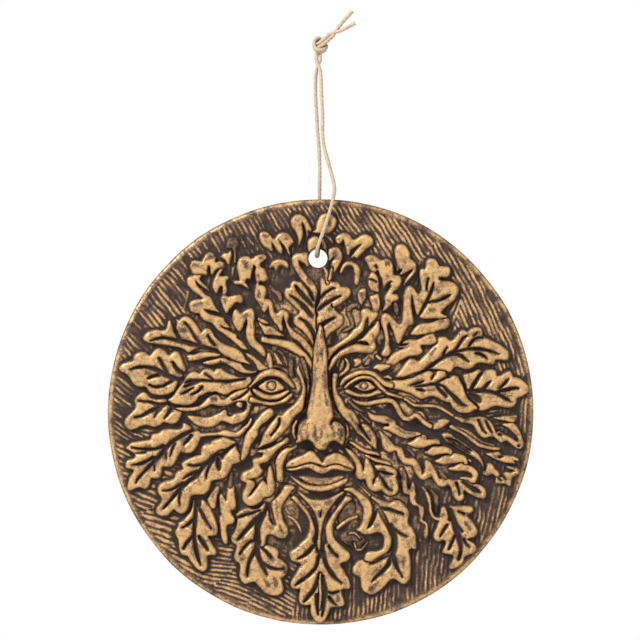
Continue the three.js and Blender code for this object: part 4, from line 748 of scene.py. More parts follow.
    ("beard_left", 2.6, 1, """
-23.4,-38.1 -24.4,-39 -26.5,-40.5 -28.5,-40.9 -30.7,-40.4 -32.7,-40.6 -34.6,-41.8 -35.7,-43.1 -35.2,-44.4
-35.1,-46.3 -35.5,-48.6 -36.5,-50.5 -37.5,-52.4 -37.5,-54 -36.5,-55.3 -35.5,-55.9 -35.5,-57.8 -36.2,-59.8
-36.2,-62 -35.2,-63.1 -34.1,-63.9 -33.9,-66.2 -34.3,-68.4 -33.6,-70.6 -32.3,-72.1 -30.4,-71.9 -28.5,-71.4
-27.6,-71.5 -26.5,-72.9 -25,-74.4 -23.5,-75.9 -21.7,-76.8 -19.6,-77.1 -17.8,-76.8 -16.5,-76 -15.9,-74.4
-16.2,-72.6 -16.6,-70.8 -16.9,-69.9 -15.1,-69 -14.4,-67.5 -14.2,-65.7 -14.8,-63.9 -16,-62.7 -17.5,-61.9
-18.3,-61.5 -18,-60.3 -18,-58.8 -19,-57.6 -20.5,-56.8 -22,-56.4 -24,-56.4 -25.6,-57 -26.4,-55 -27.8,-54
-28.3,-53 -28,-50.5 -27.9,-48 -26.6,-46.2 -25,-42.6 -23.8,-40""", """
-35,-44.2,0.2 -32.5,-43.4,0.3 -29,-42.4,0.35 -25.6,-41.2,0.3 / -35,-53.6,0.3 -32.6,-51,0.6 -30,-48.2,0.8
-27,-45.2,1 -25,-42.8,0.8 / -34,-59.6,0.4 -32.4,-57,0.5 -30,-54.8,0.5 -27.6,-54,0.7 / -26.8,-47,0.7
-27,-51,0.8 -26.8,-55.5,1 -26.8,-59,0.9 -25.8,-62,0.8 -24.4,-65,0.7 -22.8,-68.4,0.4 / -28,-58.5,0.8
-29.9,-62.5,0.6 -30.9,-66.5,0.5 -30.9,-69.2,0.3 / -24.2,-63.8,0.4 -21.5,-65.4,0.5 -18.8,-66,0.4
-15.8,-66.1,0.2 / -24.6,-57.4,0.4 -22.4,-59.2,0.4 -21,-61,0.3""", """
-33.6,-62.2,0.5 -32.6,-62,0.5 / -20.4,-61.6,0.5 -20,-62.6,0.4 / -19.4,-70,0.7 -18.8,-73,0.9 / -24,-70.4,0.5
-22.4,-73,0.6 / -15.6,-65,0.4 -15.2,-67.4,0.5"""),
    ("beard_stem_left", 2.5, 1, """
-22.5,-41.4 -23.2,-43.5 -24.4,-46.2 -25.2,-48.6 -25.5,-51 -25.2,-53.4 -25,-54.9 -25.4,-56.2 -24.4,-56.5
-23.7,-55.5 -23.4,-53.7 -22.9,-52 -21.4,-51.4 -19.3,-51.9 -17.5,-52.8 -15.7,-53.1 -14.4,-52.2 -13.9,-50.7
-14.1,-48.9 -15.1,-47.1 -16,-45.3 -16.5,-43.5 -16.8,-42 -16.8,-40.5 -16,-38.4 -14.8,-36.3 -13.6,-34.5
-12.1,-32.7 -10.9,-31.8 -12.4,-31 -15.1,-31 -16.3,-33 -17.8,-35.1 -19.6,-36.9 -20.7,-38.1 -20.5,-39.9
-20.2,-42 -19.8,-43.5 -19.3,-45.6 -18.6,-47.4 -20,-47.6 -21,-46.6 -21.7,-45 -22,-43.2""", "", """
-18.6,-37,0.2 -18.6,-41,0.3 -18,-45,0.3 / -17.4,-48,0.4 -16,-50.6,0.4 / -21.8,-48,0.4 -20.4,-49,0.3"""),
    ("top_left_bud", 2, 0.9, """
-42,65.5 -41.3,66.6 -40.1,67.3 -39,67.2 -38.1,68.8 -37.8,66.8 -38.3,64.6 -38.8,62.3 -39.5,62.8 -40.2,64.3
-41.3,64.8"""),
    ("top_left_pod", 1.8, 0.45, """
-39.5,70 -39.3,71.8 -38.4,73.5 -36.8,73.8 -35.2,72.9 -34.8,71.1 -35.7,69.3 -35.9,66.8 -35.9,63.2 -36.6,63.6
-36.6,67.5 -37.5,69 -38.6,69"""),
]
print(lay_leaves(leaves), "more shapes")

# %% [markdown]
# The beard is leaves too: two curling stems come from under the lower lip, and the middle of the
# beard hangs from the chin to the rim.

# %% Beard, chin and lower right
leaves = [
    ("beard_right", 2.6, 1, """
20.6,-34.8 22.5,-35.9 24.4,-36.9 26.7,-37.8 29,-38.3 30.6,-37.6 32.1,-37.3 33.7,-37.7 35.3,-39.3 36.8,-41.2
37.2,-42.5 36.7,-45 36.6,-46.3 37.2,-47.6 38.5,-48.9 39.3,-50.5 40,-52.1 40,-53.7 40.1,-55.6 40.2,-57.2
39.5,-57.7 38.2,-57.2 37.1,-58.2 37.2,-59.8 37.6,-62 37.7,-65.2 37.7,-67.8 37.4,-70 36.3,-71.6 34.7,-72.2
33.1,-71.4 31.8,-70.5 30.5,-70 28.9,-70.8 27.3,-72.6 25.4,-74.5 23.2,-75.9 21.6,-76.7 19.6,-76.5 18,-75.4
17.4,-73.8 17.1,-71.9 16.9,-70 16.4,-69.2 14.8,-68.6 13.7,-67.6 13.6,-66.2 14.2,-64.4 15.2,-63.1 16.8,-62.3
18.4,-62 21.2,-62.9 24.4,-61.4 27,-60.2 29.6,-58.8 30.6,-56 30.9,-53 30.6,-50.4 29.2,-47.6 28,-44.4
26.2,-41.2 24.1,-38.4 22.4,-36.9""", """
25.8,-40.4,0.5 29,-41,0.6 32,-42,0.5 34.6,-42.9,0.3 / 30,-48.4,0.5 32.6,-50.6,0.5 36,-52.2,0.3 /
29.6,-47.5,0.6 31,-51,0.8 31.4,-54.5,0.9 31,-58,0.9 29.6,-61,0.7 28.2,-64.4,0.7 25.6,-67.2,0.6
23.2,-69.4,0.5 21.6,-71.2,0.2 / 30.6,-60.6,0.8 31.6,-64,0.6 33,-67,0.4 34.5,-69.4,0.2 / 28.6,-60.4,0.3
26,-61.6,0.4 23.4,-63,0.4 20.6,-63.8,0.2""", """
34.9,-61.6,0.4 34.8,-65,0.4 / 23.4,-66,0.5 21.4,-68,0.5 / 24,-71.8,0.6 21.6,-74.4,0.7 / 32,-45.4,0.5
31.6,-46,0.5"""),
    ("beard_stem_right", 2.5, 1, """
9.7,-32.4 11,-31.9 12.6,-31.8 14.5,-32.6 16.4,-33.8 18.4,-35.3 20,-36.7 21.1,-38.3 21.6,-40.2 21.6,-42.2
21.1,-44.1 20.4,-46 19.8,-47.9 19.2,-49 20.4,-48.8 21.6,-47.9 22.4,-46.6 23.2,-45 24.1,-42.2 24.8,-43.4
26,-46 27.3,-47.9 28.6,-50.5 29.4,-52.7 29.6,-54.6 29.2,-56.6 28.3,-58.2 27,-59.4 24.8,-60.7 22.5,-62
21.2,-62.8 18.6,-62.4 18.5,-61.5 18.8,-60.1 19.6,-59 21.6,-58.5 23.8,-58.3 25.7,-57.8 26.5,-56.6
26.8,-54.3 26.7,-52.4 25.7,-51.3 24.1,-50.6 22.5,-50.8 20.9,-51.3 19,-51.4 17.7,-51.1 16.8,-50.3
15.2,-49.6 16.4,-48.6 17.1,-47.3 17.7,-45.7 18,-43.8 18.2,-41.8 17.9,-40.2 17.2,-38.6 16.3,-37 14.8,-35.4
13.2,-34.2 11.3,-33.2""", "", "24,-47.4,0.5 23.2,-48,0.4"),
    ("husk_right", 1.4, 0.35, """
12.6,-37.2 13.9,-38.3 14.4,-40.6 13.9,-42.3 15.6,-43.6 15.2,-44.4 13.2,-45 11.3,-46 9.7,-47.3 8.1,-48.7
6.8,-49.4 6.5,-48.4 7.5,-47.3 7.8,-45.7 7,-44.1 7.8,-42.2 9.1,-39.9 10.7,-38"""),
    ("berry_right", 1.9, 0.3, """
8.1,-52.4 9.7,-50.8 12,-50.2 14.5,-50.5 16.4,-51.8 18.4,-53 19.9,-54.5 19.6,-55.9 18.4,-57.5 16.8,-58.6
15.2,-59.3 13.9,-58.5 12.6,-56.6 10.4,-55.3 8.8,-54"""),
    ("beard_middle", 2.7, 1, """
-13,-60.3 -12.9,-59.1 -11.5,-57.9 -10,-56.7 -8.5,-55.2 -6.7,-53.7 -5.5,-51.9 -4.8,-50.1 -4.5,-48 -4.8,-45.9
-5.8,-43.5 -7.6,-41.1 -9.4,-39 -11.2,-37.2 -12.4,-36 -11.4,-35.4 -10,-36.3 -8.5,-38.1 -6.7,-40.2 -5.2,-42.3
-4,-44.7 -3.1,-47.1 -2.7,-49.5 -2.8,-51.6 -3.6,-53.7 -2.6,-56.6 -2.2,-58.8 -1.2,-60 0,-61.6 1.2,-60 1.8,-58
1.9,-55.9 3,-55.4 2.5,-53 2.2,-50.2 2.5,-47.9 3.5,-45.7 4.9,-43.1 6.8,-40.6 8.8,-38.3 10,-36.4 10.7,-35.4
12.9,-36.4 11.3,-37.7 9.4,-39.6 7.8,-41.8 6.2,-44.4 5.1,-46.6 4.8,-48.9 4.9,-51.1 5.9,-53.4 7.5,-55.3
9.7,-57.2 11.3,-58.5 12.3,-59.8 12,-61.4 10.7,-62.6 8.8,-63.3 8.1,-64.2 9.1,-65.8 10.4,-68.1 11.6,-70.3
12.3,-72.6 12,-74.2 10,-74.3 8.4,-74.8 8.6,-76 9.1,-77.4 9.9,-79.9 9.6,-81.2 8.1,-81.7 5.6,-82 3.8,-82.3
3.3,-84.1 2.5,-86 1.7,-87.6 0,-88.8 -0.7,-88.5 -2.5,-87.6 -3.6,-85.8 -4.2,-84 -4.3,-80.9 -5.5,-81.2 -7,-81.2
-8.5,-80.6 -9,-79.2 -9,-77.1 -8.8,-75 -9.1,-74.3 -10.6,-74.6 -12.1,-74 -12.6,-72.6 -12.1,-70.8 -11.2,-69
-10,-67.2 -9.1,-65.7 -8.4,-64.5 -8.5,-63.8 -10,-63.3 -11.8,-62.7 -12.7,-61.5""", """
-9.8,-61.8,0.3 -7.6,-60.6,0.5 -5.2,-58.8,0.6 -3.2,-56.4,0.7 / -10.6,-72.8,0.3 -8.8,-71.2,0.5 -6,-69.4,0.5
-3.6,-67.2,0.6 -1.8,-64.6,0.6 -1.2,-61,0.6 / -7.2,-79.8,0.3 -5.2,-77.4,0.6 -3,-74.6,0.8 -1.4,-71,0.7
-0.6,-67.6,0.4 / -1.9,-77,0.7 -1.7,-80,0.6 -1.5,-83,0.5 -1.2,-85,0.3 / 0.9,-69,0.5 1.6,-73,0.7 1.8,-76.5,0.8
1.2,-80,0.6 1,-83,0.5 0.6,-85.6,0.3 / 3.4,-56.4,0.5 5,-58.8,0.5 7,-60.8,0.3 / 1,-58,0.6 1.6,-62,0.6
3.4,-66,0.6 6,-69.4,0.5 8.6,-72,0.3 / 3.4,-78,0.5 5,-80,0.4 6.6,-81.4,0.2 / 2.6,-75.6,0.3 5,-76.2,0.4
7.6,-75.4,0.3""", "7,-78,0.5 7.2,-78.8,0.5 / -8,-64.6,0.4 -6.4,-62.6,0.4"),
    ("chin_leaf", 2.3, 0.85, """
9.7,-33.4 7.2,-34.5 4.9,-35.8 2.4,-36.6 0,-36.9 -2.4,-36.9 -4.4,-36.6 -5.6,-36 -7.4,-35 -10,-33.5 -8.6,-35
-7,-36.6 -5.2,-38.4 -4,-39.8 -2.1,-43.1 -1,-46.6 -0.9,-49.5 -1,-52.8 -1.2,-56 -0.6,-58 -0.2,-56 0,-52
0.3,-49.2 0.8,-47 1.7,-44.4 2.8,-41.8 4.6,-39.3 6.5,-36.7 8.1,-35.1""", "0,-42,0.2 -0.1,-44,0.3",
     "4,-37.4,0.3 2.4,-38.8,0.4 / -3.4,-38.4,0.4 -2.4,-39.6,0.4"),
    ("right_low_1", 2.2, 0.85, """
33.2,-23.9 34,-26.8 34.3,-29 34.4,-31.3 34.6,-33.2 35.2,-34.2 36.5,-34.6 37.5,-34.8 37.8,-36.1 38,-37.7
38.8,-39 39.7,-39.4 40.8,-39.8 41.5,-40.9 41.8,-42.8 42.1,-44.4 41.6,-45.8 42.9,-46.8 44.2,-47.5 44.2,-48.8
43.6,-50.2 43.4,-52.1 43.9,-53.4 44.8,-52.9 45.4,-50.8 45.2,-49 45,-47.4 44.2,-46.3 42.9,-45.4 43.2,-43.8
43.6,-41.8 43.2,-40.2 42,-39.3 40.8,-38.6 40.1,-38 39.7,-36.4 40.1,-34.5 39.9,-32.6 39.6,-30.6 38.8,-29.4
38.1,-30.6 37.8,-32.2 37,-32.6 36.4,-30.6 36.4,-28.4 35.9,-25.8 34.6,-23.4""", "",
     "34.6,-25,0.5 35.2,-27.6,0.5"),
    ("right_low_husk", 1.6, 0.4, """
44.8,-31.6 47.1,-32.9 49,-34.5 49.8,-36.1 49.8,-38.6 49.3,-40.9 48.7,-42.5 48.4,-41.2 48,-38.6 47.7,-36.1
46.8,-34.2"""),
    ("right_low_2", 2.6, 1, """
42.3,-31.6 43.6,-31.9 44.6,-33.2 45.5,-34.8 46.3,-37 46.6,-39.3 46.9,-41.5 47.7,-43.4 49,-44.4 50.3,-44.4
50.4,-42.8 50.8,-40.9 51.6,-39.8 52.5,-40.2 53.2,-41.8 53.6,-43.8 53.4,-45.4 54.9,-46.3 55.4,-45 54.8,-42
54.6,-39.4 55.9,-39.6 58,-39.6 61.2,-39.6 63.4,-39.8 64.2,-40.6 63.9,-41.8 62.8,-42.5 61.9,-43.2 62.4,-44.4
63.7,-46 65,-47.9 65.8,-49.8 65.6,-51.1 64.7,-52.4 62.8,-52.9 61.4,-53.4 62.1,-54 63.1,-54.5 64.7,-55.4
65.5,-56.6 65.3,-57.8 64,-59.3 62.1,-60.1 60.6,-60.9 60.4,-62 59.6,-63.6 58,-64.9 56.4,-65.7 54.8,-65.8
54.3,-64.9 54.8,-63.6 55.6,-62 55.9,-60.6 54.8,-60.1 53.2,-59.9 51.7,-59.4 51.4,-58.5 52,-57.2 52.7,-55.6
52.5,-54.2 51.2,-54 49.3,-54.5 48,-53.7 47.5,-52.1 48,-50.5 48.8,-48.9 49.6,-47.3 50,-45.9 48.4,-45.4
47,-44.2 46,-42 45.6,-39 44.8,-36 43.8,-33.6""", """
54.6,-41,0.6 55.4,-43.6,0.9 56.6,-47.5,1 57.8,-51.5,1 58.8,-55,0.9 59,-58.5,0.6 58.2,-62,0.4 /
53.2,-47.6,0.5 51.8,-50,0.5 50.4,-52.2,0.3 / 56.4,-52,0.4 55,-55.4,0.4 53.8,-57.8,0.25 / 57.8,-48.2,0.6
59.6,-50.2,0.3 / 60.2,-53.6,0.5 61.4,-55.6,0.4 62.8,-56.6,0.2 / 58,-41.8,0.3 60.6,-42.8,0.3""",
     "51.4,-42,0.3 51.2,-44.6,0.3 / 61,-46.4,0.25 63,-49.4,0.3"),
]
print(lay_leaves(leaves), "shapes in the beard")

# %% [markdown]
# The right side answers the left, but no leaf is a mirror copy: the carver drew each one afresh.

# %% Leaves on the right
leaves = [
    ("jaw_right", 2.6, 1, """
24.3,-7.6 25.6,-8.6 27,-10 28.6,-11.2 30,-12.7 31.1,-14.1 33.3,-14.8 34.4,-15.7 35.1,-17.4 35.8,-19.2
37.6,-19.5 39,-19.4 40.4,-20.4 41.6,-22.2 42.4,-24.6 42.5,-26.3 43.6,-25.4 44.1,-23.4 44,-21.4 44.4,-20.2
45.7,-20.7 47,-22.3 48,-24 49,-25.7 49.5,-27.3 50.3,-28.4 51.4,-27.9 53,-28 54.3,-28.2 56,-28.6 57.4,-28.4
60,-28.5 62,-29.3 64.7,-30 67.3,-30.7 68.7,-31.7 69.5,-33 69.7,-34.7 69,-36 67.7,-36.2 65.7,-35.8 63.7,-34.8
62,-33.7 60.5,-32.7 60,-33.7 60.2,-35.3 59.7,-36.8 58.3,-37.3 56.7,-36.3 55.7,-34.7 55.2,-32.7 54.5,-31
53.5,-30.3 52.3,-31 50.7,-31.5 49.3,-30.8 48.3,-29.3 47.3,-27.7 46.7,-26.7 45,-27.5 43.7,-28.3 42.6,-28.5
41.4,-27.6 40.4,-26 39.4,-23.9 38.7,-22.4 37.3,-22 35.1,-21.7 33.7,-20.2 32.6,-18.4 32.1,-16.7 31.5,-16.1
29.4,-16.7 27.6,-16.1 26.1,-14.5 25.8,-12.7 25.4,-9.8""", """
59.8,-29.2,0.3 61,-30,0.6 62.8,-31.3,0.7 64.8,-32.5,0.7 66.4,-33.4,0.4 67.4,-33.8,0.15 / 57.2,-29.6,0.3
58,-31.6,0.4 58.4,-33.8,0.3 58.4,-34.8,0.1""",
     "41,-22.6,0.3 41.4,-25,0.3 / 27.6,-11.6,0.4 29.4,-13.4,0.3"),
    ("right_mid_4", 2.4, 1, """
53.8,-23.8 54.8,-23.2 56.3,-22.8 57.7,-22 59.3,-21.5 60.3,-22.3 62,-22.3 63.7,-22.8 65,-23.7 66,-24.8
66.3,-26.3 66,-27.7 65.7,-28.8 65.3,-29.7 63.7,-29.8 62.7,-29.3 61.7,-28.7 60.3,-28.2 58.7,-27.7 60,-27.3
62,-27.5 63.7,-27.7 64,-26.7 63.3,-25.7 61.7,-25 59.7,-24.6 58,-24.6 56.3,-24.4 54.7,-24.3""", "",
     "59.6,-24.8,0.3 61.4,-25.2,0.2"),
    ("right_mid_3", 2.6, 1, """
48.2,-20.5 49.7,-19.5 51,-18.7 52.7,-18.2 54.3,-18.2 55.7,-17.5 57,-17.3 58.7,-17.8 60.3,-18.5 61.3,-19.3
61.8,-20.5 61.7,-21.7 60.8,-21.8 60,-21 58.3,-20.8 56.7,-21.2 55,-21.5 53,-21.7 51,-21.7 49.3,-21.2"""),
    ("right_mid_2", 2.6, 1, """
43.5,-16.7 44.7,-16.3 45.7,-15.7 46.7,-14.8 48,-14.3 49.7,-14.5 51.3,-14.3 53,-14.7 54.5,-15.2 55.3,-16
55.2,-17.3 54.5,-17.8 53.7,-17.3 52.3,-17.2 50.7,-17.3 48.7,-17.8 47,-18.1 45.3,-17.8 44.3,-17.3"""),
    ("right_mid_1", 2.6, 1, """
36.5,-13.4 37.4,-12.7 38.9,-12 40.1,-11 41.2,-9.9 42.6,-9.3 44,-9.7 44.6,-10.6 44.4,-11.4 46,-11.5
48,-11.3 49.7,-11.5 50.2,-12.3 50,-13.3 48.3,-13.3 46.3,-13.7 44.7,-14.3 43.3,-14.8 41.2,-14.9 39.4,-14.5
37.6,-14""", "", "42.4,-10.2,0.5 43.4,-10.6,0.5"),
    ("right_8", 2.2, 1, """
69.7,-17.5 71,-17.2 72.3,-17.2 74,-16.8 75.3,-17 76.3,-18 78,-18.3 79.7,-18.5 81.3,-18.7 82.7,-19.2
83.5,-19.8 83,-20.8 82,-21.5 80.7,-21.5 78.7,-21.2 76.7,-20.8 75,-20.3 73.3,-19.7 71.7,-18.7
70.3,-18""", "75.4,-18.8,0.3 76.6,-18.6,0.2 / 81.6,-20.6,0.2 83,-21.2,0.4",
     "72.6,-17.8,0.3 73.8,-18.6,0.3"),
    ("right_7", 2.6, 0.9, """
51,-9.3 53,-8.8 55,-9.3 56.7,-10.7 58.7,-12 60.7,-13.3 62.7,-14.7 64.3,-16 66,-17.3 67.3,-19 68.3,-20.7
69,-21.7 70,-21.7 71,-21.2 72.3,-22 73,-23 73.3,-24 74.7,-25 75.3,-26 75,-27.3 74.2,-27.5 73.5,-26.7
72.3,-26 71.3,-26.2 70.3,-26.7 69.3,-26.5 68.5,-25.7 68.7,-24.3 68.2,-22.7 67.3,-21.3 66,-20 64.7,-19
63.3,-18.2 61.7,-17.5 60,-16.3 58,-15.3 56.7,-14.3 55.3,-13.3 53.3,-12.7 53,-12 52,-10.7""", """
53,-10.7,0.15 56.7,-12,0.25 59.3,-13.7,0.3 62,-15.3,0.3 63.7,-16.3,0.15 / 56,-12.7,0.2 58,-14.7,0.35
60.7,-16,0.35 62.7,-17.3,0.2 / 69.4,-21,0.5 69.4,-23,0.4 69.1,-24.6,0.15""",
     "54,-11.6,0.4 56,-13.2,0.4 / 57.6,-11.8,0.3 60,-13.6,0.3"),
    ("right_7_tip", 2, 0.8, """
74,-27.7 73.7,-29 74,-29.9 76.7,-29.8 78,-30 79,-30.9 79.9,-30.7 80.2,-29 80.4,-27.6 82,-26.5 83.4,-25.8
83.8,-24.6 83,-23.6 81,-23.1 78.4,-22.6 79.4,-23.7 81.6,-24.6 80.2,-25.4 78.2,-25 77.2,-25.6 76.8,-26.8
75.4,-27.4""", "77,-26.8,0.4 78,-28.2,0.3 / 75,-28,0.3 76,-28.6,0.2"),
    ("right_5", 2.6, 1, """
55.3,-1 57,-1.8 59,-2.3 60.7,-3 62.7,-2.5 64.7,-2.2 66.7,-2 68.7,-2.3 70.3,-3.2 71.7,-4.3 72.7,-5.7 73.3,-7
74,-8.7 75,-8 76.3,-8.7 78,-9.7 79.3,-10.3 81.3,-11.7 82.7,-12.3 83.3,-11.7 82.7,-10.3 81.3,-8.8 80,-7.5
78.7,-6.3 77.3,-5.5 76.7,-5.2 77.3,-4.7 79,-4.7 80.3,-4 81.7,-5 83,-6.7 84,-8.3 84.7,-10 85.3,-11.7
85.7,-13.3 85,-14.7 83.7,-15.2 82.3,-14.8 81,-13.8 79.7,-12.7 78.3,-11.8 77.3,-12 76.3,-12.7 75.3,-12.3
74.3,-11.5 73,-10.3 71.3,-10.2 69.7,-10.7 68.3,-10.5 67,-9.5 66,-8.3 65.3,-7 64.3,-5.7 63,-4.8 61,-4.3
59.3,-4 58,-3.3 56.3,-2.2""", """
66.4,-3.2,0.3 67.4,-5.4,0.35 68.6,-7.6,0.4 69.8,-9,0.2 / 69.4,-3.4,0.2 70.4,-5,0.4 71.2,-6.8,0.4
72.2,-8.4,0.2 / 75.2,-9.2,0.5 75.8,-9.4,0.4 / 83.3,-14,0.35 83.5,-14.2,0.35""",
     "61.4,-3.2,0.4 64.6,-3,0.5 / 81.4,-7.4,0.4 82.6,-8.8,0.4"),
    ("right_5_tip", 1.8, 0.9, """
73,-2.2 74.7,-2 76.7,-1.7 78.7,-1.5 80.3,-1.5 81.7,-1 82.7,-1.2 82.3,-2.3 82,-3.3 81.2,-4.1 79.7,-4 78,-3.5
76,-3.2 74.3,-2.8""", "", "79.8,-2.2,0.3 81.2,-2.4,0.3"),
    ("cheek_bowl", 2.4, 1, """
40,-0.2 41.4,0.3 42.4,0.2 43.4,-0.8 44,-2 44.7,-3.2 46,-3.6 48,-3.2 50,-3 52,-2.7 53.7,-3 54.4,-3.6
53.7,-4.5 52,-5.8 50,-6.8 47.7,-7 45.7,-6.5 43.7,-5.3 42,-4 41,-2.8""", "", "48.4,-3.7,0.5 47,-4.2,0.5"),
    ("right_4", 2.8, 1, """
28.6,12.8 31.5,13.6 33.3,13.6 35.4,13.8 38,14.4 40.1,15.2 42.3,16.3 44.1,17.1 45.7,17.5 46.8,17.2 47.6,16.4
48.8,17.2 50.2,17.5 51.8,17.4 52.7,16.6 52.8,15.6 53.4,14.3 54.5,14.6 55.6,15.4 57.1,15.4 58.1,14.5 58.9,13
59.6,11.6 60.1,10.2 60.7,8.5 61.4,6.6 62.5,5.1 63.9,4 65.3,2.8 66.2,1.9 65.7,1.4 64.6,1 63.5,0.3 62.1,-0.3
60.3,-0.3 58.5,0.1 57.1,1 56,2.1 55.1,3.3 54.2,4.2 53.1,4.4 51.7,4.9 50.2,5.7 48.8,6.4 47.3,6.9 45.9,6.9
44.5,6.4 43,5.8 41.6,6 40.1,6.6 39.1,7.3 38,8 36.2,8.6 34,9.3 32.2,9.6 30.4,10 28.6,10.6""", """
38.2,11.4,0.15 40,12,0.3 42,12.6,0.25 43.4,13.2,0.1 / 39.8,10.9,0.1 41.9,11.1,0.3 44.5,11.4,0.35 47,11.8,0.4
49.5,11.6,0.4 51.3,11.1,0.35 52.7,10,0.35 54.2,8.4,0.45 55.6,7.1,0.6 57.4,5.3,0.65 59.2,3.7,0.55 61,2.6,0.15
/ 48.8,11.4,0.35 50.2,9.4,0.5 51.7,7.8,0.5 53.1,6.4,0.15 / 48.8,12.3,0.1 50.6,13.4,0.25 52.4,14.5,0.3
53.8,15.6,0.3 / 46.6,13.8,0.1 47.2,15.2,0.3 48.2,16.6,0.3 / 53.7,15.2,0.7 53.9,15.4,0.7 / 40.4,9.7,0.2
42,9.4,0.5 43.4,9,0.3""", "45.4,9.2,0.4 48,9.2,0.4"),
    ("right_4_end", 2.8, 1, """
59.9,15.6 61,16.1 63.2,16.5 64.6,17.2 66.1,18 67.3,17.9 67.9,17.2 68.8,17.2 70,17.7 71.8,17.9 73.4,17.5
74,16.5 74.2,15.4 75.1,15.4 76.5,15.9 77.6,16.8 79,17.5 80.1,17.2 80.7,16.1 81.2,15.2 82.6,14.7 84.1,14.1
85.5,13 86.8,11.8 87.6,10.5 87.8,9.4 87.1,8.4 85.9,7.6 84.4,6.7 83,6.2 82.3,5.3 82.2,4 81.4,3 80.1,2.3
78.3,2.1 76.5,2.4 74.7,2.8 72.9,2.8 71.5,2.2 70,1.3 68.2,0.8 66.8,1.1 67.1,2.2 65.6,4 63.6,5.4 62.2,7.2
61.6,9 61.4,10.4 61.4,11.5 60.6,12.8 60.4,14""", """
61.4,9.4,0.4 63.2,9.1,0.6 65.3,8.9,0.7 67.9,9.1,0.7 70,8.9,0.6 72.2,8.5,0.6 74,8,0.6 75.8,6.9,0.5
77.6,5.8,0.4 79.4,4.8,0.25 80.1,4.2,0.1 / 74,8.5,0.4 76.1,9.1,0.55 78.3,9.4,0.6 80.5,10,0.5 82.3,10.2,0.35
83.4,10,0.1 / 63.2,9.4,0.5 64.3,11.6,0.6 65.7,13.8,0.55 66.8,15.6,0.4 67.9,16.8,0.2 / 67.9,9.3,0.6
69.3,10.9,0.6 70.4,12.3,0.5 71.6,13.2,0.1 / 75.4,10.2,0.3 76.9,11.6,0.45 78.1,13,0.45 79.2,14.3,0.1 /
62.6,7.6,0.6 64.2,6.8,1.1 66,5.8,1.1 66.9,4.8,0.7"""),
    ("right_3", 2.8, 1, """
31.5,15.2 32.5,16.4 34,18.4 35.4,20.4 37,22.2 38.4,22.6 40,21.9 41,21.3 42,21.9 43.4,23.5 45.2,25.6 47,27.5
48.4,28.5 49.1,29.6 49.4,30.9 50.2,31.6 51.7,31.8 52.9,31.5 53.8,30.5 54.9,30.1 56,30.7 57,32.1 58.1,33.7
59.2,34.6 60.5,34.6 61.6,33.7 62.5,34.3 63.2,35 64.6,35.6 66.4,35.7 67.7,35 68.1,33.7 68,32.8 68.9,31.9
70.4,31 72.2,30.1 74,29.2 75.8,28.2 77.6,26.7 79,25.3 79.3,23.8 78.8,22.5 77.6,22 76.1,22.4 74.7,22.5
73.6,22.4 73.1,20.9 72.5,20.4 71.5,20.4 70,20.6 68.6,20.9 67.1,21 65.7,20.6 64.6,19.7 63.2,18.6 61.4,18.3
59.6,18.6 58.1,19.2 56.7,19.1 55.6,18.3 54.5,17 53.5,17 52.4,17.7 50.6,18 48.8,18.2 47,18.4 45.2,18.5
42.3,17.8 40,16.9 37.6,16.1 35.8,15.5 34,15 32.5,14.8""", """
44,18.3,0.3 46,19.4,0.5 48.2,20.9,0.5 50,22,0.5 51.8,23.3,0.5 53.8,24.3,0.45 56,24.6,0.5 58.2,24.3,0.5
59.8,23.4,0.45 61.2,22.1,0.35 62.4,21.2,0.1 / 53.8,24.9,0.2 56,25.8,0.45 58.1,25.9,0.45 60.3,26.4,0.45
63.2,26.8,0.45 65.7,26.8,0.5 68.6,26.4,0.5 71.1,25.8,0.45 73.3,25.2,0.25 75.2,24.5,0.1 / 56.3,26,0.4
57.6,27.6,0.5 58.9,29.6,0.45 60.3,31.4,0.35 61.6,32.4,0.1 / 62.1,27.6,0.3 63.2,29.1,0.5 64.4,30.5,0.45
65.7,31.4,0.25 67,31.5,0.15 68.4,31.4,0.1 / 64.4,32.1,0.15 65.2,33,0.2 65.9,33.8,0.1 / 51.4,23.8,0.35
52.2,26,0.4 53.2,27.6,0.15 / 65.3,24.9,0.2 67,24.6,0.3 68.6,23.8,0.35 69.6,23,0.25 70.4,22.2,0.1""",
     "46.4,24.6,0.3 48,27,0.4"),
    ("crown_right_2", 2.6, 1, """
37.7,32.8 38.8,34.6 40,36.1 41.5,37 43.7,37.4 45.9,37.6 48.2,38.3 50.4,39.3 52.3,39.9 53.8,39.5 54.2,38
53.8,36.4 52.3,35.3 50,34.7 48.2,34.2 47.4,33.5 45.4,33.1 43,33 41,32.6 39.4,32.6""", "",
     "50,38.2,0.4 52,38.6,0.3"),
    ("temple_right_2", 2.6, 1, """
27.4,21 28.4,22 29.5,23.8 31.4,25.3 33.6,26.2 35.6,27 37,27.4 34.8,27.3 33,27.4 33.6,28.4 35,29.7 36.6,30.5
38.4,30.7 40,30.5 41.8,31 43.7,32.2 45.2,32.7 47.1,33.1 48.2,32 48.7,30.7 48.4,29.4 47.1,28.8 45.2,28.4
43.3,28.4 42,28.1 42.2,27.1 42.9,26 42.2,24.9 40.7,24.1 38.8,23.9 37,23.8 35.5,23 33.2,21.9 31.4,20.4
29.9,19.8 28.4,20.2""", "33,28.2,0.1 34.6,28.4,0.3 36.4,28.7,0.15"),
    ("temple_right_1", 2.4, 1,
     "22,18.4 23.4,19.9 25.4,20.3 28,20 29.4,19.7 28.4,18.9 26.5,18.1 25.2,17.2 24.6,17.4 23.4,18.2"),
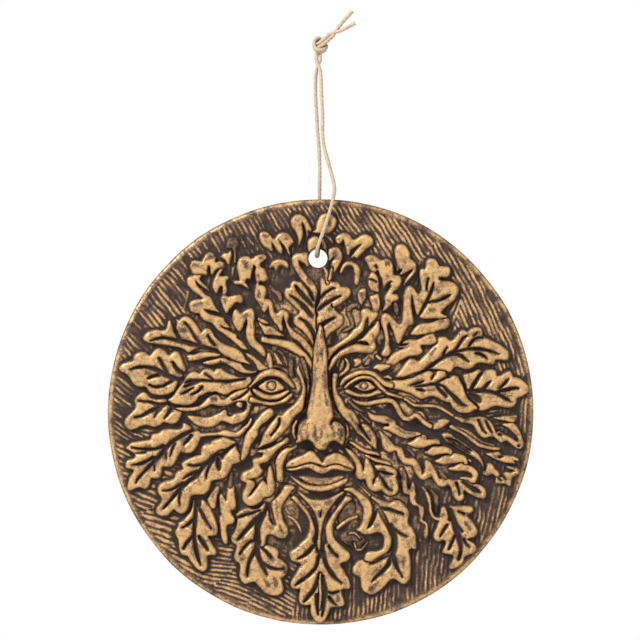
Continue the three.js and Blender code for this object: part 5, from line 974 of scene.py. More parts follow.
    ("crown_right_1", 2.7, 1, """
36.2,52.4 37.3,53.3 38.5,53 39.8,51.4 40.8,50.2 41.9,50.6 42.5,52 42.3,54 42,56 41.8,58 41.9,60 42.6,60.6
44,60.6 44.4,62 44.6,63.6 45.6,64.6 47,64.8 48.4,64.2 49.2,62.9 50,61.6 51.6,61.5 53.4,61.4 54.4,60.6
54.6,59.2 54,57.6 52.4,57 50.8,57 49.9,56.3 50.8,55.6 52.4,55.3 54.4,55.1 56,54.5 57.2,53.4 57.9,51.8
57.5,49.9 56,47.4 54.1,45.8 52.3,44.3 51,43 50.7,42 51.8,41.1 53.4,40.4 52,40 50,39.8 47.1,39.9 44.6,39.6
42.2,39.8 41.6,41 40.9,41 40.4,42 39.9,43.8 39.4,46 38.9,48.2 38.2,49.8 37.9,47 38.1,44.4 38.6,41.4 38.9,39
38.6,37.1 37,36.7 36,35.2 35.2,33.8 34.4,32 33.6,30.2 32.5,29 31.8,30.6 31.2,32.8 30.3,35 29.2,37.4 28.6,38
28,36.8 28,35 28.4,33 28.8,30 29.1,27.5 29.3,25.3 28.4,24.1 26.9,23.7 25.6,24.2 25.4,25 26.2,26.4 27,28.4
27.3,30.4 26.9,33 26.1,35.7 25.6,38.3 25.6,40.6 26.9,41.6 28.4,41.5 29.9,40.2 31.4,38.4 33.2,37.2 34.4,38.7
34.7,40.8 34.9,44 35,47 35.2,50""", """
47.6,54.6,0.2 47.2,53,0.4 46.4,51,0.5 45.4,48.6,0.55 44.2,46,0.5 43,43.6,0.4 41.8,41.2,0.3 / 45.4,56.4,0.2
44.9,54.6,0.35 44.6,52.6,0.3 44.9,51.4,0.1 / 44.6,46.4,0.3 46.4,46.7,0.4 48.9,47.1,0.45 51.4,47.9,0.4
53.4,48.9,0.3 54.6,49.6,0.1""", """
46.6,43.2,0.6 47.8,43,0.6 / 50.4,56.6,0.4 51.2,56.4,0.4 / 41,47.4,0.4 42.6,46.4,0.3 / 48.2,52,0.3
49.4,51.2,0.3 / 42.4,49.4,0.4 41.4,50,0.3"""),
    ("crown_right_3", 2.6, 1, """
18.7,64.4 19,65.6 20.5,66.3 22.4,66.1 23.9,65.2 25,64 26.1,64 27.6,64.6 29.1,64 30.1,62.6 30.4,60.3
30.3,58.3 31,57.7 32.9,57.4 33.9,56.2 33.6,54 32.1,52.1 30.6,51 29.9,50 30.6,49.8 32.3,49.6 32.7,48
31.8,47.2 30.3,46.2 29.1,44.9 27.6,43.6 26.2,42.8 27,44.6 27.4,46.4 27.1,48.4 27.9,50 28.8,51.8 29.8,53.4
28.2,53.2 26.8,52.2 26.5,53 26.2,54.6 25.8,56.4 25,58.1 24.2,60 22.6,59.2 20.9,60.3 19.8,62.2""",
     "27,52.6,0.2 28.6,54,0.3 29.6,55,0.1 / 23.8,60.8,0.2 23.2,61.8,0.3", """
21,63.8,0.5 21.8,64.4,0.6 / 27.6,57.4,0.6 28.4,57.2,0.6 / 27.8,62.6,0.4 28.8,63,0.4 / 28.4,47.4,0.5
29,46.6,0.5"""),
    ("bud_right", 2.2, 1, """
20.3,57 20.9,58.1 22,59 23.5,57.7 24.2,55.9 24.3,54.4 24.2,52.9 24.4,51 23.5,51.2 22,51.4 20.9,52.5 20.2,54
20.2,55.9""", "20.4,56.2,0.1 21.8,55.8,0.3 23.6,55,0.25"),
    ("bud_right_stem", 2.3, 1, """
20.9,49.1 22.4,49.5 24.2,49.8 24.6,48.4 24.8,46.5 24.7,44.6 24.2,43.2 23.2,42.4 22.4,43 21.7,44.3 21.3,46.2
20.7,47.7""", "", "23,47.6,0.3 23.4,46.4,0.3"),
    ("pod_right", 2.6, 1, """
31.4,67.4 31.5,69 32.1,70.1 33.6,70.8 35.1,70.4 36.6,69 37.5,67.1 37.5,65.2 38.8,64 40.1,62.6 40.3,61.1
40,59.6 39.2,58.2 37.7,56.6 36.2,55.2 35.2,53.6 35.9,55.9 37.2,58 39,60 38.1,60.3 35.9,59.2 34,58 33.3,58.4
34.4,60 33.4,60.2 32.2,59.2 31.7,61.1 32.1,63 31.7,65.2""", "",
     "35,63.6,0.6 35.4,63.2,0.6 / 32.6,61.2,0.4 33,60.4,0.4"),
]
print(lay_leaves(leaves), "leaves on the right")

# %% [markdown]
# Between the leaves run thin strands. Most of them lie low, where the rag hardly reached, so
# they take less gold.

# %% Thin strands between the leaves
# Each row: height in mm, gold, and the strand as x, z and half width.
strands = [
    (1.3, 0.4, "-18,26.2,0.3 -16.2,24.6,0.5 -15.2,22.4,0.5 -14.2,19.8,0.4"),
    (1.2, 0.4, "-19.5,19.3,0.5 -17,18.9,0.6 -14.8,17.8,0.6 -13,16,0.5"),
    (1.3, 0.4, "-12.4,21.6,0.8 -12.6,18.5,0.9 -12.2,15.5,0.7"),
    (1.5, 0.5, "-7.8,22.4,0.6 -6,17,0.7 -5.2,12,0.5 -5.6,8,0.3"),
    (1.8, 0.8, "-34.4,3.4,1.1 -33.8,3,1.1"),
    (2.2, 0.9, "1.2,61.3,0.5 2.2,59.5,0.6 2.6,57,0.6 2.8,54.6,0.5"),
    (2, 0.8, "4.6,60.5,0.4 4.2,58.4,0.5 3.6,56,0.5"),
    (1.2, 0.4, "-37.6,-25.5,0.5 -38,-28,0.7 -38.2,-31,0.8"),
    (1.2, 0.4, "-21.4,53.4,0.3 -19.8,51.2,0.6 -17.8,50,0.9 -17,47.6,0.6"),
    (1.4, 0.6, "1.6,74.4,0.4 3.4,73.6,0.6 4.8,71.6,0.4"),
    (1.3, 0.5, "0.6,72.8,0.5 1.4,70.4,0.8 2,67.6,0.6"),
    (1.4, 0.45, "11.6,41.4,0.6 12,44,0.8 13.6,45,0.8 15.8,45.2,0.6 16,44,0.3"),
    (1.4, 0.45, "11.8,41.6,0.5 13,38.8,0.6 13.4,36.2,0.5 11.4,35,0.6 9.4,34.4,0.3"),
    (1.4, 0.8, "-13.6,-44,0.3 -11.4,-45.2,0.35 -9.4,-47.8,0.4 -8.2,-50.6,0.25"),
    (1.3, 0.7, "-33.4,73.4,0.4 -32.6,71.4,0.4 -31.8,69.6,0.3"),
    (1.3, 0.7, "-30.6,73.6,0.3 -29.2,71.6,0.4 -28.6,70.6,0.3"),
    (1.8, 0.9, "6.9,-48.8,0.5 9.6,-46.6,0.6 12.4,-44.9,0.5 15.2,-43.9,0.4"),
    (1.6, 0.8, "12,-51.3,0.3 13.8,-50.9,0.4 15.6,-52,0.3 16.8,-53.6,0.2"),
    (1.6, 0.8, "14,-55,0.3 15,-57.8,0.5 17,-58,0.4 19.6,-55,0.2"),
    (2.2, 1, "-0.1,-68,0.2 -0.3,-72,0.4 -0.2,-77,0.55 -0.4,-80.5,0.4 -0.6,-83,0.2"),
    (1.8, 0.8, "16.6,-31,0.2 18.8,-33,0.3 20.8,-35,0.4"),
    (1.4, 0.4, "31.2,45.6,0.9 31.8,43.6,1.1 32.2,41.6,0.6"),
    (1.3, 0.45, "50.4,-24.6,0.4 51.4,-26.4,0.8 52.6,-27.4,0.7"),
    (1.3, 0.4, "36.9,-15.8,0.3 38.6,-17.4,0.5 39.4,-18.4,0.4"),
    (1.3, 0.4, "12,4.6,0.4 13.8,2.8,0.5 15.8,1.2,0.5 18,0.2,0.4"),
    (1.3, 0.45, "16.8,-0.6,0.4 18.6,-2.4,0.6 20.6,-4.2,0.5"),
    (1.4, 0.5, "57,-6.4,0.4 60,-7.6,0.8 62.4,-8.8,0.9 64.6,-10.3,0.7 67,-12,0.5 70,-13.4,0.4 73,-14,0.4"),
    (2, 1, """
55.1,-6.1,0.7 57,-7.3,0.55 60.7,-9.3,0.5 62.7,-10.7,0.55 64.7,-12.3,0.6 66.7,-13.7,0.6 68.7,-14.5,0.6
70.7,-15,0.55 72.7,-15.3,0.5 75.4,-15.4,0.3"""),
    (1.6, 0.8, "36,6.2,0.3 38,5.2,0.5 40,4.3,0.3"),
    (2, 1, """
34.7,6,0.3 36.5,5,0.4 38.3,3.6,0.45 40,2.9,0.45 43,2.8,0.45 46.5,2.8,0.45 48.8,2.5,0.5 50.5,1.9,0.5
52.4,0.8,0.45 54.2,-0.3,0.45 55.6,-1.2,0.5"""),
    (1.5, 0.6, "8.2,17.8,0.5 8.9,19.8,0.7 9.4,21.6,0.5"),
    (1.4, 0.5, "18.6,19.8,0.3 19.6,20.8,0.7 20.4,22.2,0.5"),
    (2, 0.95,
     "7,15,0.5 8.6,16,0.55 10.2,17.2,0.6 11.2,18.8,0.7 11.5,20.4,0.65 10.9,21.8,0.45 10.2,22.6,0.2"),
    (1.6, 1, "62.8,-20.3,0.4 63.2,-20.7,0.4"),
    (1.7, 0.9, "23.6,23.8,0.5 24.6,22.8,0.6 25.2,22.2,0.3"),
    (1.6, 0.8, "26.8,14.8,0.3 28.4,15,0.6 29.6,14.4,0.4"),
]
print(lay_strands(strands), "thin strands")

# %% [markdown]
# The face comes last and stands highest, the ridge of the nose most of all. Cheeks, moustache
# and lids are strips of leaf with deep grooves between them.

# %% Face
leaves = [
    ("cheek_1", 2.6, 1, """
-24.4,0 -26.6,-2.6 -28.7,-5.5 -30.5,-7.7 -31.8,-10.2 -32.5,-12.7 -33.1,-15.2 -33.6,-18.1 -33.6,-19.9
-32.7,-19.9 -31.3,-18.5 -30.2,-16.3 -29.5,-13.8 -28,-11.6 -26.6,-9.5 -26.2,-6.9 -24.8,-5.1 -23,-3.7
-21.5,-2.3 -20,-0.8 -20,0.4 -21.2,1.6 -22.8,1"""),
    ("cheek_2", 3, 1, """
-17.9,-1.3 -19.4,-3 -21.2,-4.8 -22.6,-6.6 -23.7,-8.4 -24.4,-10.2 -24.8,-12 -25.5,-13.8 -26.4,-15.1
-24.4,-14.1 -22.2,-13.1 -20.1,-12 -17.9,-10.5 -15.4,-8 -13.6,-5.9 -12.5,-3.7 -11.1,-1.9 -9.6,-0.5 -7.8,1
-7.1,3.5 -6.7,6.4 -6.4,10 -7.1,12.9 -8.2,15.8 -8.9,18.3 -9.6,19.6 -10,17.6 -9.6,15.8 -8.5,13.6 -7.8,10.7
-8.2,7.8 -9.3,5.7 -10.7,3.9 -12.9,2.1 -15,0.3 -16.4,-1.2""",
     "-17.4,-2.5,0.3 -17.4,-4.6,0.5 -18.8,-7,0.4 -21,-9.5,0.3"),
    ("cheek_right_2", 2.6, 1, """
19.9,-0.1 21.7,-0.8 23.9,-1.3 26.4,-1.5 28.6,-1.9 30,-2.8 31.5,-3.7 31.8,-5.1 33.6,-6.2 35.4,-7.5 37.3,-8
39,-8.2 40.9,-8.4 42.4,-8.9 41.4,-9.6 40,-9.9 37.9,-10.7 35.8,-10.9 33.6,-10.3 31.5,-9.4 29.7,-8.4 27.9,-7.5
26.1,-6.9 26.8,-6 28.6,-6 29,-5.3 28.3,-4.6 26.4,-4.6 24.3,-4 22.1,-3.3 20.7,-2.2""", "",
     "27.4,-2.8,0.3 29,-3.4,0.4 / 31,-6.2,0.3 33.4,-7.8,0.4 35.6,-9,0.2 / 37,-9,0.3 39.6,-9,0.3"),
    ("cheek_right_1", 3, 1, """
5.2,16.4 4.9,13.6 4.9,10.7 5.2,7.8 5.9,5 6.9,2.6 8,0.3 9.3,-1.9 11.2,-3.8 12.9,-5.2 14,-6.9 15.4,-8.7
17.2,-10.2 19,-11.6 20.8,-13.2 22.6,-14.9 23.4,-15.2 23.5,-12.7 22.9,-10.2 21.8,-8 20.4,-6.2 18.6,-5.1
17.6,-4.9 16.4,-5.4 16.3,-4.4 15.6,-2.6 14.4,-0.8 12.8,0.8 11.4,1.5 10.3,2.6 9.2,5 8.1,6.6 7.1,7.8 6.4,10
6.4,12.5 6.8,14.7 7.2,16""", "16.2,-5.4,0.3 17.4,-7.4,0.4 19,-9.6,0.35 21,-12.2,0.15",
     "12.4,-1.4,0.2 14,-4.4,0.3 15.6,-7,0.2 / 20.4,-8,0.3 21.4,-10.4,0.3"),
    ("moustache_left", 3.4, 1, """
-14.3,-10.7 -16.1,-12 -18.3,-13.1 -20.8,-14.5 -23,-15.2 -24.6,-15.7 -26.6,-16.4 -25.5,-16.9 -24.4,-17.2
-24.8,-18.5 -26.2,-19 -28,-19.5 -28.7,-20.6 -28.4,-21.7 -28.6,-23.1 -29.8,-23.9 -31.6,-24.6 -33.1,-25.7
-33.6,-26.9 -33.6,-28.2 -32.7,-29.1 -31.6,-29.6 -31.4,-31.1 -32.3,-32.9 -32.9,-34.7 -33,-36.5 -32.2,-38.1
-30.5,-39.2 -28.7,-39.3 -26.9,-38.6 -25.1,-37.2 -24,-35.9 -22.2,-35.4 -20.8,-34.7 -19.7,-33.2 -19.4,-31.4
-19.5,-29.3 -20.1,-27.1 -20.4,-24.9 -20.9,-23 -21.3,-22.6 -22,-23.6 -22.4,-26 -22.6,-28.2 -22.4,-30
-22,-31.6 -23.3,-29.9 -24.4,-29 -25.5,-29.6 -26.8,-31.4 -28.4,-33.6 -29.8,-35 -31,-35.4 -29.8,-34
-28.6,-31.8 -27.9,-30 -28.6,-29 -30.2,-28.4 -31.4,-28 -29,-27.8 -26.6,-27.1 -25.1,-26 -24.4,-24.6
-25.4,-23.2 -25.8,-22 -24.4,-21.3 -22.6,-20.6 -20.8,-18.5 -19,-16.3 -17.2,-14.5 -15.4,-13.4 -14.2,-12.7
-13.6,-11.4"""),
    ("moustache_right", 3.2, 1, """
10.2,-14.8 12,-15.7 13.8,-17.4 15.6,-19.5 17.1,-22 17.6,-24.2 18,-25 18.6,-22.6 18.8,-20.4 19.2,-19.2
20,-19.6 21,-21.3 21.9,-23.5 22.5,-26 22.7,-28.4 23.5,-27.6 24.4,-27.1 25.2,-26.4 24.6,-25.2 23.7,-24
22.8,-22.8 23.4,-22.3 25,-22.2 26.8,-22.4 28.6,-22.8 30.4,-23.5 31.8,-24.6 32.2,-26 31.8,-27.4 32,-28.9
32.6,-31 32.6,-32.8 31.8,-34.3 30.4,-35 28.6,-35 26.8,-33.9 25.9,-32.7 25,-32.8 23.2,-33.2 21.4,-32.8
19.9,-31.4 19.2,-29.6 18.5,-28.1 16.7,-28.4 15.3,-27.6 14.9,-26 15.1,-23.5 14.4,-21.3 13.1,-19.2
11.7,-17.4""", """
24.2,-24.9,0.3 26,-25.3,0.45 28,-25.8,0.4 30.2,-26.2,0.15 / 24.8,-27,0.3 26,-28.4,0.35 27,-30,0.35
28.4,-32.2,0.3 30,-33,0.15 / 22.6,-28,0.25 22.2,-30,0.1""", "29.4,-28.6,0.4 30,-31,0.4"),
    ("fold_left", 3, 1, """
-10.2,-13.9 -12.5,-15.1 -14.6,-15 -16.8,-16.4 -18.3,-18.5 -19,-21 -18.8,-23.5 -18.5,-26 -18.3,-28.2
-17.6,-29.3 -16.5,-29.4 -15.8,-28.5 -16.1,-26 -16.1,-23.5 -15.8,-21.3 -15,-19.2 -14,-17.4 -12.5,-15.9
-11,-14.9"""),
    ("bag_left", 2.8, 1, """
-29.5,6.5 -28,6 -25.9,4.9 -23,4.4 -20.8,4.2 -17.9,4.6 -15.8,5.7 -14,7.1 -12.6,7.9 -12.1,7.1 -13.6,5.3
-15.8,4 -18.7,3.3 -20.8,3.1 -23.7,3.4 -26.6,4.1 -28.6,4.1 -30,4.6"""),
    ("lid_left_low", 3.2, 1, """
-28.9,9.9 -28,8.4 -26.2,6.8 -23.7,5.8 -20.8,5.5 -17.9,5.8 -15.8,6.9 -14,8.2 -13.2,8.9 -13.8,9.4 -15.8,8.5
-17.9,7.6 -20.8,7.2 -23.7,7.6 -25.9,8.9 -27.7,9.9"""),
    ("lid_left", 3.4, 1, """
-30.4,10.8 -28.6,12.7 -27.3,14.7 -25.9,16.2 -23.7,17.4 -21.2,18.1 -18.7,17.8 -16.1,16.8 -14.3,15.6
-12.9,13.6 -11.4,11.4 -11.3,10.3 -12.2,10.7 -13.6,11.8 -15,13.2 -16.8,14.5 -19,15.2 -21.2,15.4 -23.3,15
-25.1,14.1 -26.9,12.9 -28.4,11.6 -29.5,10.3"""),
    ("lid_right_low", 3.2, 1, """
10.3,9 11.3,9.6 13.1,8.8 15.3,7.9 17.4,7.5 19.6,7.6 21.4,8.1 22.9,8.9 24.2,9.2 26,8.4 23.6,7.6 21.8,7
19.6,6.5 17.4,6.4 14.9,6.7 12.7,7.4 10.8,8.2"""),
    ("tuft_right", 2.1, 0.8,
     "13.8,21.9 15.3,22.6 17.1,22.2 17.3,21.2 16.4,20.3 14.9,19.4 14,19.3 14.4,20.6"),
    ("upper_lip", 3, 1, """
-14.7,-22.8 -14,-21.3 -12.2,-19.9 -10,-18.8 -7.8,-18.1 -6,-17 -4.6,-16.3 -3.2,-16.7 -2.1,-17.7 -1,-19.2
0.6,-21.2 1.6,-19.6 2.8,-18.4 4.4,-17.6 6,-17.2 8,-17.6 10.2,-18.8 12,-20.4 13.4,-22.2 13.9,-23.8 12.2,-23.8
10.2,-23 8,-22 6,-21.6 4,-22 2,-22.8 0.4,-22.6 -1.7,-21.7 -4.2,-21.3 -6.4,-21.5 -8.6,-22.1 -10.4,-22.8
-12.5,-23.3 -14.3,-23.3"""),
    ("lip_line", 2.7, 1, """
-14.4,-24 -12.5,-23.6 -10.4,-23.2 -8.6,-22.5 -6.4,-21.9 -4.2,-21.7 -2,-22.4 0.4,-23.3 2.2,-23.2 4,-22.4
6,-22 8,-22.4 10.2,-23.4 12.4,-24.1 13.6,-24.4 11.2,-24.8 8.6,-24.4 6.4,-23.9 4.4,-24.1 2.4,-25.2 0.4,-25.6
-1.6,-25.2 -3.4,-24.2 -5.2,-23.5 -7.6,-23.6 -10,-24.2 -12.4,-24.6"""),
    ("lower_lip", 3.2, 1, """
-12.9,-26.7 -11.4,-27.6 -9.6,-28.5 -7.8,-29.6 -5.7,-30.5 -3.5,-31.1 -1,-31.3 2,-31 4.6,-30.4 7,-29.4
9.4,-28.6 11.4,-28 10.6,-29.6 8.6,-30.8 6.4,-31.8 4.2,-32.6 2,-33.2 -0.3,-33.4 -3.2,-33.2 -5.7,-32.5
-7.8,-31.3 -9.6,-30 -11.4,-28.5"""),
    ("tongue", 1.9, 0.7, """
-9.4,-27.2 -7,-27.2 -5,-27.4 -2.6,-27.7 0,-27.9 2.6,-27.7 5,-27.3 8,-27 9.8,-27.2 8,-28.4 5.4,-29.6 3,-30.3
0,-30.6 -3,-30.3 -5.6,-29.5 -8,-28.2""", "", "-4,-28.4,0.2 0,-28.8,0.2 4,-28.2,0.2"),
    ("eye_left", 2.5, 1, """
-26.4,10.8 -24.8,12.2 -22.8,13.4 -20.6,13.8 -18.4,13.2 -16.8,11.9 -15.4,10.2 -17.2,9.2 -19.2,8.5 -21.2,8.3
-23.4,8.9 -25,9.8""", """
-18.9,11.2,0.04 -19.4,12.5,0.04 -20.8,13.1,0.04 -22.2,12.5,0.04 -22.8,11.2,0.04 -22.2,9.8,0.04
-20.8,9.2,0.04 -19.4,9.8,0.04 -18.9,11.2,0.04"""),
    ("eye_right", 2.5, 1, """
14.2,10.8 15.4,11.8 17.2,12.7 18.8,12.9 20.6,12.4 21.8,11.4 22.8,10.4 21.4,9.7 19.6,9.2 17.8,9.1
16,9.6""", """
19.9,11,0.04 19.4,12,0.04 18.3,12.4,0.04 17.3,12,0.04 16.8,11,0.04 17.3,10,0.04 18.3,9.6,0.04 19.4,10,0.04
19.9,11,0.04"""),
    ("nose", 5.6, 1, """
-3.2,20.8 -3.3,17.2 -3.2,13.6 -3.5,11.4 -4.1,7.8 -4.6,4.9 -5,2.8 -5.5,0.6 -5.7,-0.8 -5.6,-2.6 -6.4,-3.3
-8.2,-4.1 -9.3,-5.9 -9.6,-8.4 -10,-10.9 -10.4,-12.7 -8.6,-12.3 -6.8,-11.6 -5,-11.6 -3.5,-12.7 -2.4,-14.5
-1,-15.6 0.1,-15.8 1.8,-15.6 2.6,-14 3.6,-12.6 5,-11.9 6.4,-11.9 7.8,-12.9 9,-13.6 9.6,-12.8 10,-11
10.2,-8.6 9.6,-6.4 8.2,-4.8 6.4,-3.8 5.2,-3.4 5.4,-1.6 4.9,1 4.4,4 3.6,7 3,10 2.7,13 2.6,16 2.6,20.4 2.5,24
2,28 1.5,31 1,34 0.4,36.5 -0.6,36.8 -1.2,34 -2,30 -2.8,26""", "5.8,-2.6,0.15 4.8,-3.6,0.2 4.2,-4.6,0.05", """
-2.2,19,0.2 -2.4,13.4,0.3 -2.8,9.6,0.35 -3.3,5,0.3 -3.8,1.4,0.1 / -2.4,-5.5,0.1 -2.3,-8.5,0.4 -2,-11.4,0.1 /
1.5,20,0.1 1.6,14,0.3 1.9,8,0.3 2.5,3,0.1 / -1.4,31,0.1 -1.3,26,0.2 -1.5,21,0.1 / 0.4,34,0.1 0.5,28,0.15
0.6,22,0.1 / -0.6,-12,0.01 0.2,-9,0.1 0.6,-6,0.01 / -6.9,-4.6,0.2 -8.4,-6.4,0.35 -8.6,-8.8,0.35
-7.6,-10.8,0.1 / -5.4,-5.6,0.1 -6.2,-8,0.2 -5.6,-10.4,0.1 / 7.2,-4.9,0.1 8.6,-6.8,0.3 8.9,-9.2,0.3
8.4,-11.6,0.1 / 4.2,-5,0.1 5.4,-7.4,0.2 5.2,-10,0.1"""),
]
print(lay_leaves(leaves), "shapes in the face")

# %% [markdown]
# Lids, folds and the edges of the nose are single strokes, laid over the leaves of the face.

# %% Lids and folds
# Each row: height in mm, gold, and the strand as x, z and half width.
strands = [
    (3, 1, """
13.6,5.2,0.2 15.3,4.2,0.5 17.1,3.7,0.6 19.2,3.5,0.7 21.4,3.9,0.8 23.9,4.6,0.8 26.4,5,0.85 28.6,5.1,0.9
30.4,4.4,0.9 31.8,2.8,0.9 32.9,0.6,0.85 34,-1.1,0.8 35.4,-2.5,0.9 37.2,-2.8,0.9 38.7,-2,0.8 40,-1.2,0.8
41.2,-1.9,0.8 42.6,-3.3,0.8 44.4,-4.8,0.8 46,-5.8,0.9"""),
    (3, 1, """
12.2,-12.4,0.2 13.6,-13.2,0.5 15.4,-14.4,0.6 17.2,-15.6,0.65 19.4,-16.6,0.65 21.6,-17,0.6 23.6,-17.4,0.55
24.6,-18,0.3"""),
    (2.8, 1, "18.9,-18.2,0.3 20.8,-19,0.6 23,-20,0.7 25.4,-20.8,0.65 27.8,-21.3,0.6 29.4,-21.9,0.3"),
    (3.4, 1, """
8.4,11.7,0.3 10,13.7,0.7 12.6,15.3,0.85 15,16.4,0.9 17.4,16.8,0.9 19.8,16.7,0.9 21.8,16.1,0.9 23.6,14.9,0.9
25.4,13.2,0.95 27.4,11.9,1.1 29.4,11.4,1.2"""),
    (3.2, 1, """
10.2,10.4,0.35 12.4,12.5,0.5 14.9,14.1,0.6 17.4,14.8,0.6 19.9,14.6,0.6 22.1,13.6,0.6 23.9,12,0.6
25.7,10,0.65 27.9,8.2,0.6 30,7.3,0.5 32.2,6.8,0.4 34.5,6.2,0.2"""),
    (2, 0.9, "-10.2,-3.6,0.3 -11.4,-6,0.5 -11.4,-8.6,0.5 -10.7,-11,0.4"),
    (2, 0.8, "10.9,-5.6,0.3 11.4,-8,0.4 11,-10.6,0.4"),
]
print(lay_strands(strands), "strokes in the face")

# %% [markdown]
# Where a shape meets the ground, the stain lies thick in a dark line. Past that line the ground
# between the leaves is lumpy and streaked outwards from the root of the nose, and its lumps took a
# breath of gold. Ovals at the eyes, the nostrils, the mouth, under the chin and at other deep hollows
# get none of it: painted shade there. The two husks in the beard are filled with small seeds.

# %% Dark lines, brown ground, painted shade in hollows and seeds
# Each row of both tables: x, z, half width and half height of an oval.
# Ovals where the gold on the ground is taken out: painted shade in deep hollows.
shaded_ovals = [
    [-21, 10.8, 8.5, 3.6], [18.5, 10.8, 7.5, 3.2], [-6, -13.8, 3.4, 2.2], [7, -13.6, 3.2, 2],
    [0, -26, 13, 2.2], [0, -35, 9, 1.6], [-17, 53, 4.4, 7.5], [11.5, 55, 3, 5], [0.4, -18.4, 2, 2.4],
    [-8.5, -54, 3.5, 6], [9.5, -52, 3, 6], [28, -0.5, 5, 1.4], [-24, -3, 3, 1],
]
seed_beds = [[-12.2, -42.4, 3.4, 4.4], [11.4, -41.6, 4.2, 5]]
BROW_Z = 5.0
FINE_STREAKS, STREAK_LENGTH, STREAK_BEND = 17, 5, 9
DARK_START, DARK_LINE = 0.2, 0.6
HATCH_START, HATCH_FADE = 0.7, 1.2
SHADE_OVAL_START, SHADE_OVAL_FADE = 0.8, 0.3
INNER_END, INNER_FADE = 68, 26
BREATH, LUMP_GOLD, STREAK_GOLD, MOST_BREATH = 0.28, 0.9, 0.95, 0.85
LUMP_RISE, LINE_RISE = 0.35, 0.25
FINE_LUMPS, BROAD_LUMPS, LUMP_BASE = 0.6, 0.5, 0.2
SEED, SEED_RISE, SEED_GOLD, SEED_GOLD_LEAST = 1.25, 0.9, 0.6, 0.1
SEED_SLANT, SEED_UNEVEN = 0.3, 0.4
BED_FADE, BED_CLEAR, BED_CLEAR_FADE = 0.2, 0.1, 0.3


def into_oval(x, z, half_width, half_height):
    """How far each point is from the middle of an oval: 1 on its edge."""
    return np.hypot((X - x) / half_width, (Z - z) / half_height)


open_ground = clear > 0
past_line = np.clip((clear - DARK_START) / DARK_LINE, 0, 1)
inner = np.clip((INNER_END - from_middle) / INNER_FADE, 0, 1)
outwards = np.arctan2(Z - BROW_Z, X)
from_brow = np.clip(np.hypot(X, Z - BROW_Z) / STREAK_LENGTH, 0, RADIUS)
streaks = soft_noise(FINE_STREAKS * outwards + wobble_x / STREAK_BEND, from_brow, lump=1.2, seed=11)
fine_lumps = FINE_LUMPS * soft_noise(X, Z, lump=1.0, seed=13)
lumps = fine_lumps + BROAD_LUMPS * soft_noise(X, Z, lump=2.6, seed=14)
breath_and_shade = np.clip(BREATH + LUMP_GOLD * lumps + STREAK_GOLD * streaks, 0, MOST_BREATH)
breath_and_shade = inner * breath_and_shade * past_line
# Painted shade: no gold on the ground inside the ovals.
for oval in shaded_ovals:
    breath_and_shade = breath_and_shade * np.clip((into_oval(*oval) - SHADE_OVAL_START) / SHADE_OVAL_FADE, 0, 1)
hatched = gold * np.clip((clear - HATCH_START) / HATCH_FADE, 0, 1)
gold = np.where(open_ground, np.clip(hatched + breath_and_shade, 0, 1), gold)
raised = LUMP_RISE * np.clip(lumps + streaks + LUMP_BASE, 0, 1) * inner
lined = (height + raised) * (LINE_RISE + (1 - LINE_RISE) * past_line)
height = np.where(open_ground, lined, height)
slanted = wobble_x + SEED_SLANT * wobble_z
beads = np.cos(2 * np.pi * slanted / SEED) * np.cos(2 * np.pi * wobble_z / SEED)
beads = np.clip(np.abs(beads) + SEED_UNEVEN * soft_noise(X, Z, lump=0.8, seed=15), 0, 1)
for oval in seed_beds:
    bed = np.clip((1 - into_oval(*oval)) / BED_FADE, 0, 1)
    bed = bed * np.clip((clear - BED_CLEAR) / BED_CLEAR_FADE, 0, 1)
    height = height + SEED_RISE * beads * bed
    gold = gold * (1 - bed) + bed * (SEED_GOLD_LEAST + SEED_GOLD * beads)
print("ground between the shapes:", round(float(open_ground.mean()), 2), "of the square")

# %% [markdown]
# The front of the disc starts as a square grid, because its faces are all alike. The grid is bent
# to a disc by moving each ring of the square to a circle, and every point then takes the height
# that was carved there. Close to the edge the points roll over into the worn rim.

# %% Mesh of the disc
CELLS = 470
LAST_CELL = GRID - 1.001
bpy.ops.mesh.primitive_grid_add(x_subdivisions=CELLS, y_subdivisions=CELLS, size=2)
plaque = bpy.context.object
plaque.name = "plaque_carved"
mesh = plaque.data


def read_points(mesh):
    """The points of a mesh as an array."""
    flat = np.zeros(len(mesh.vertices) * 3, np.float32)
    mesh.vertices.foreach_get("co", flat)
    return flat.reshape(-1, 3).astype(float)


def sample(field, x, z):
    """A field of the square grid read between its points."""
    u = np.clip((x + RADIUS) / STEP, 0, LAST_CELL)
    v = np.clip((z + RADIUS) / STEP, 0, LAST_CELL)
    i, j = u.astype(int), v.astype(int)
    f, g = u - i, v - j
    low = field[j, i] * (1 - f) + field[j, i + 1] * f
    return low * (1 - g) + (field[j + 1, i] * (1 - f) + field[j + 1, i + 1] * f) * g


u, v = read_points(mesh)[:, :2].T
wide = np.abs(u) > np.abs(v)
ring = np.where(wide, np.abs(u), np.abs(v))
with np.errstate(divide="ignore", invalid="ignore"):
    slant = np.where(wide, v / u, np.where(ring > 0, u / v, 0)) * np.pi / 4
angle = np.where(wide, slant + np.where(u < 0, np.pi, 0), np.pi / 2 - slant + np.where(v < 0, np.pi, 0))
far = ring * RADIUS
roll = np.clip((far - RADIUS + FRONT_BEVEL) / FRONT_BEVEL, 0, 1) * np.pi / 2
far = np.where(roll > 0, RADIUS - FRONT_BEVEL * (1 - np.sin(roll)), far)
RIM_WOBBLE = 0.25
NOISE_RING = 60
uneven = soft_noise(NOISE_RING * np.cos(angle), NOISE_RING * np.sin(angle), lump=11.0, seed=11) * ring**6
uneven = RIM_WOBBLE * uneven
x = (far + uneven) * np.cos(angle)
z = (far + uneven) * np.sin(angle)
carved = sample(height, x, z) * np.cos(roll)
y = -THICKNESS - carved + FRONT_BEVEL * (1 - np.cos(roll))
mesh.vertices.foreach_set("co", to_frame(np.column_stack([x, y, z])).astype(np.float32).ravel())
mesh.update()
print("points on the front:", len(mesh.vertices))

# %% [markdown]
# The sides and the back are plain on such a cast plaque. The outline of the front is extruded to
# the wall in three steps, of which two turn in round the back's bevel, and the back is filled.

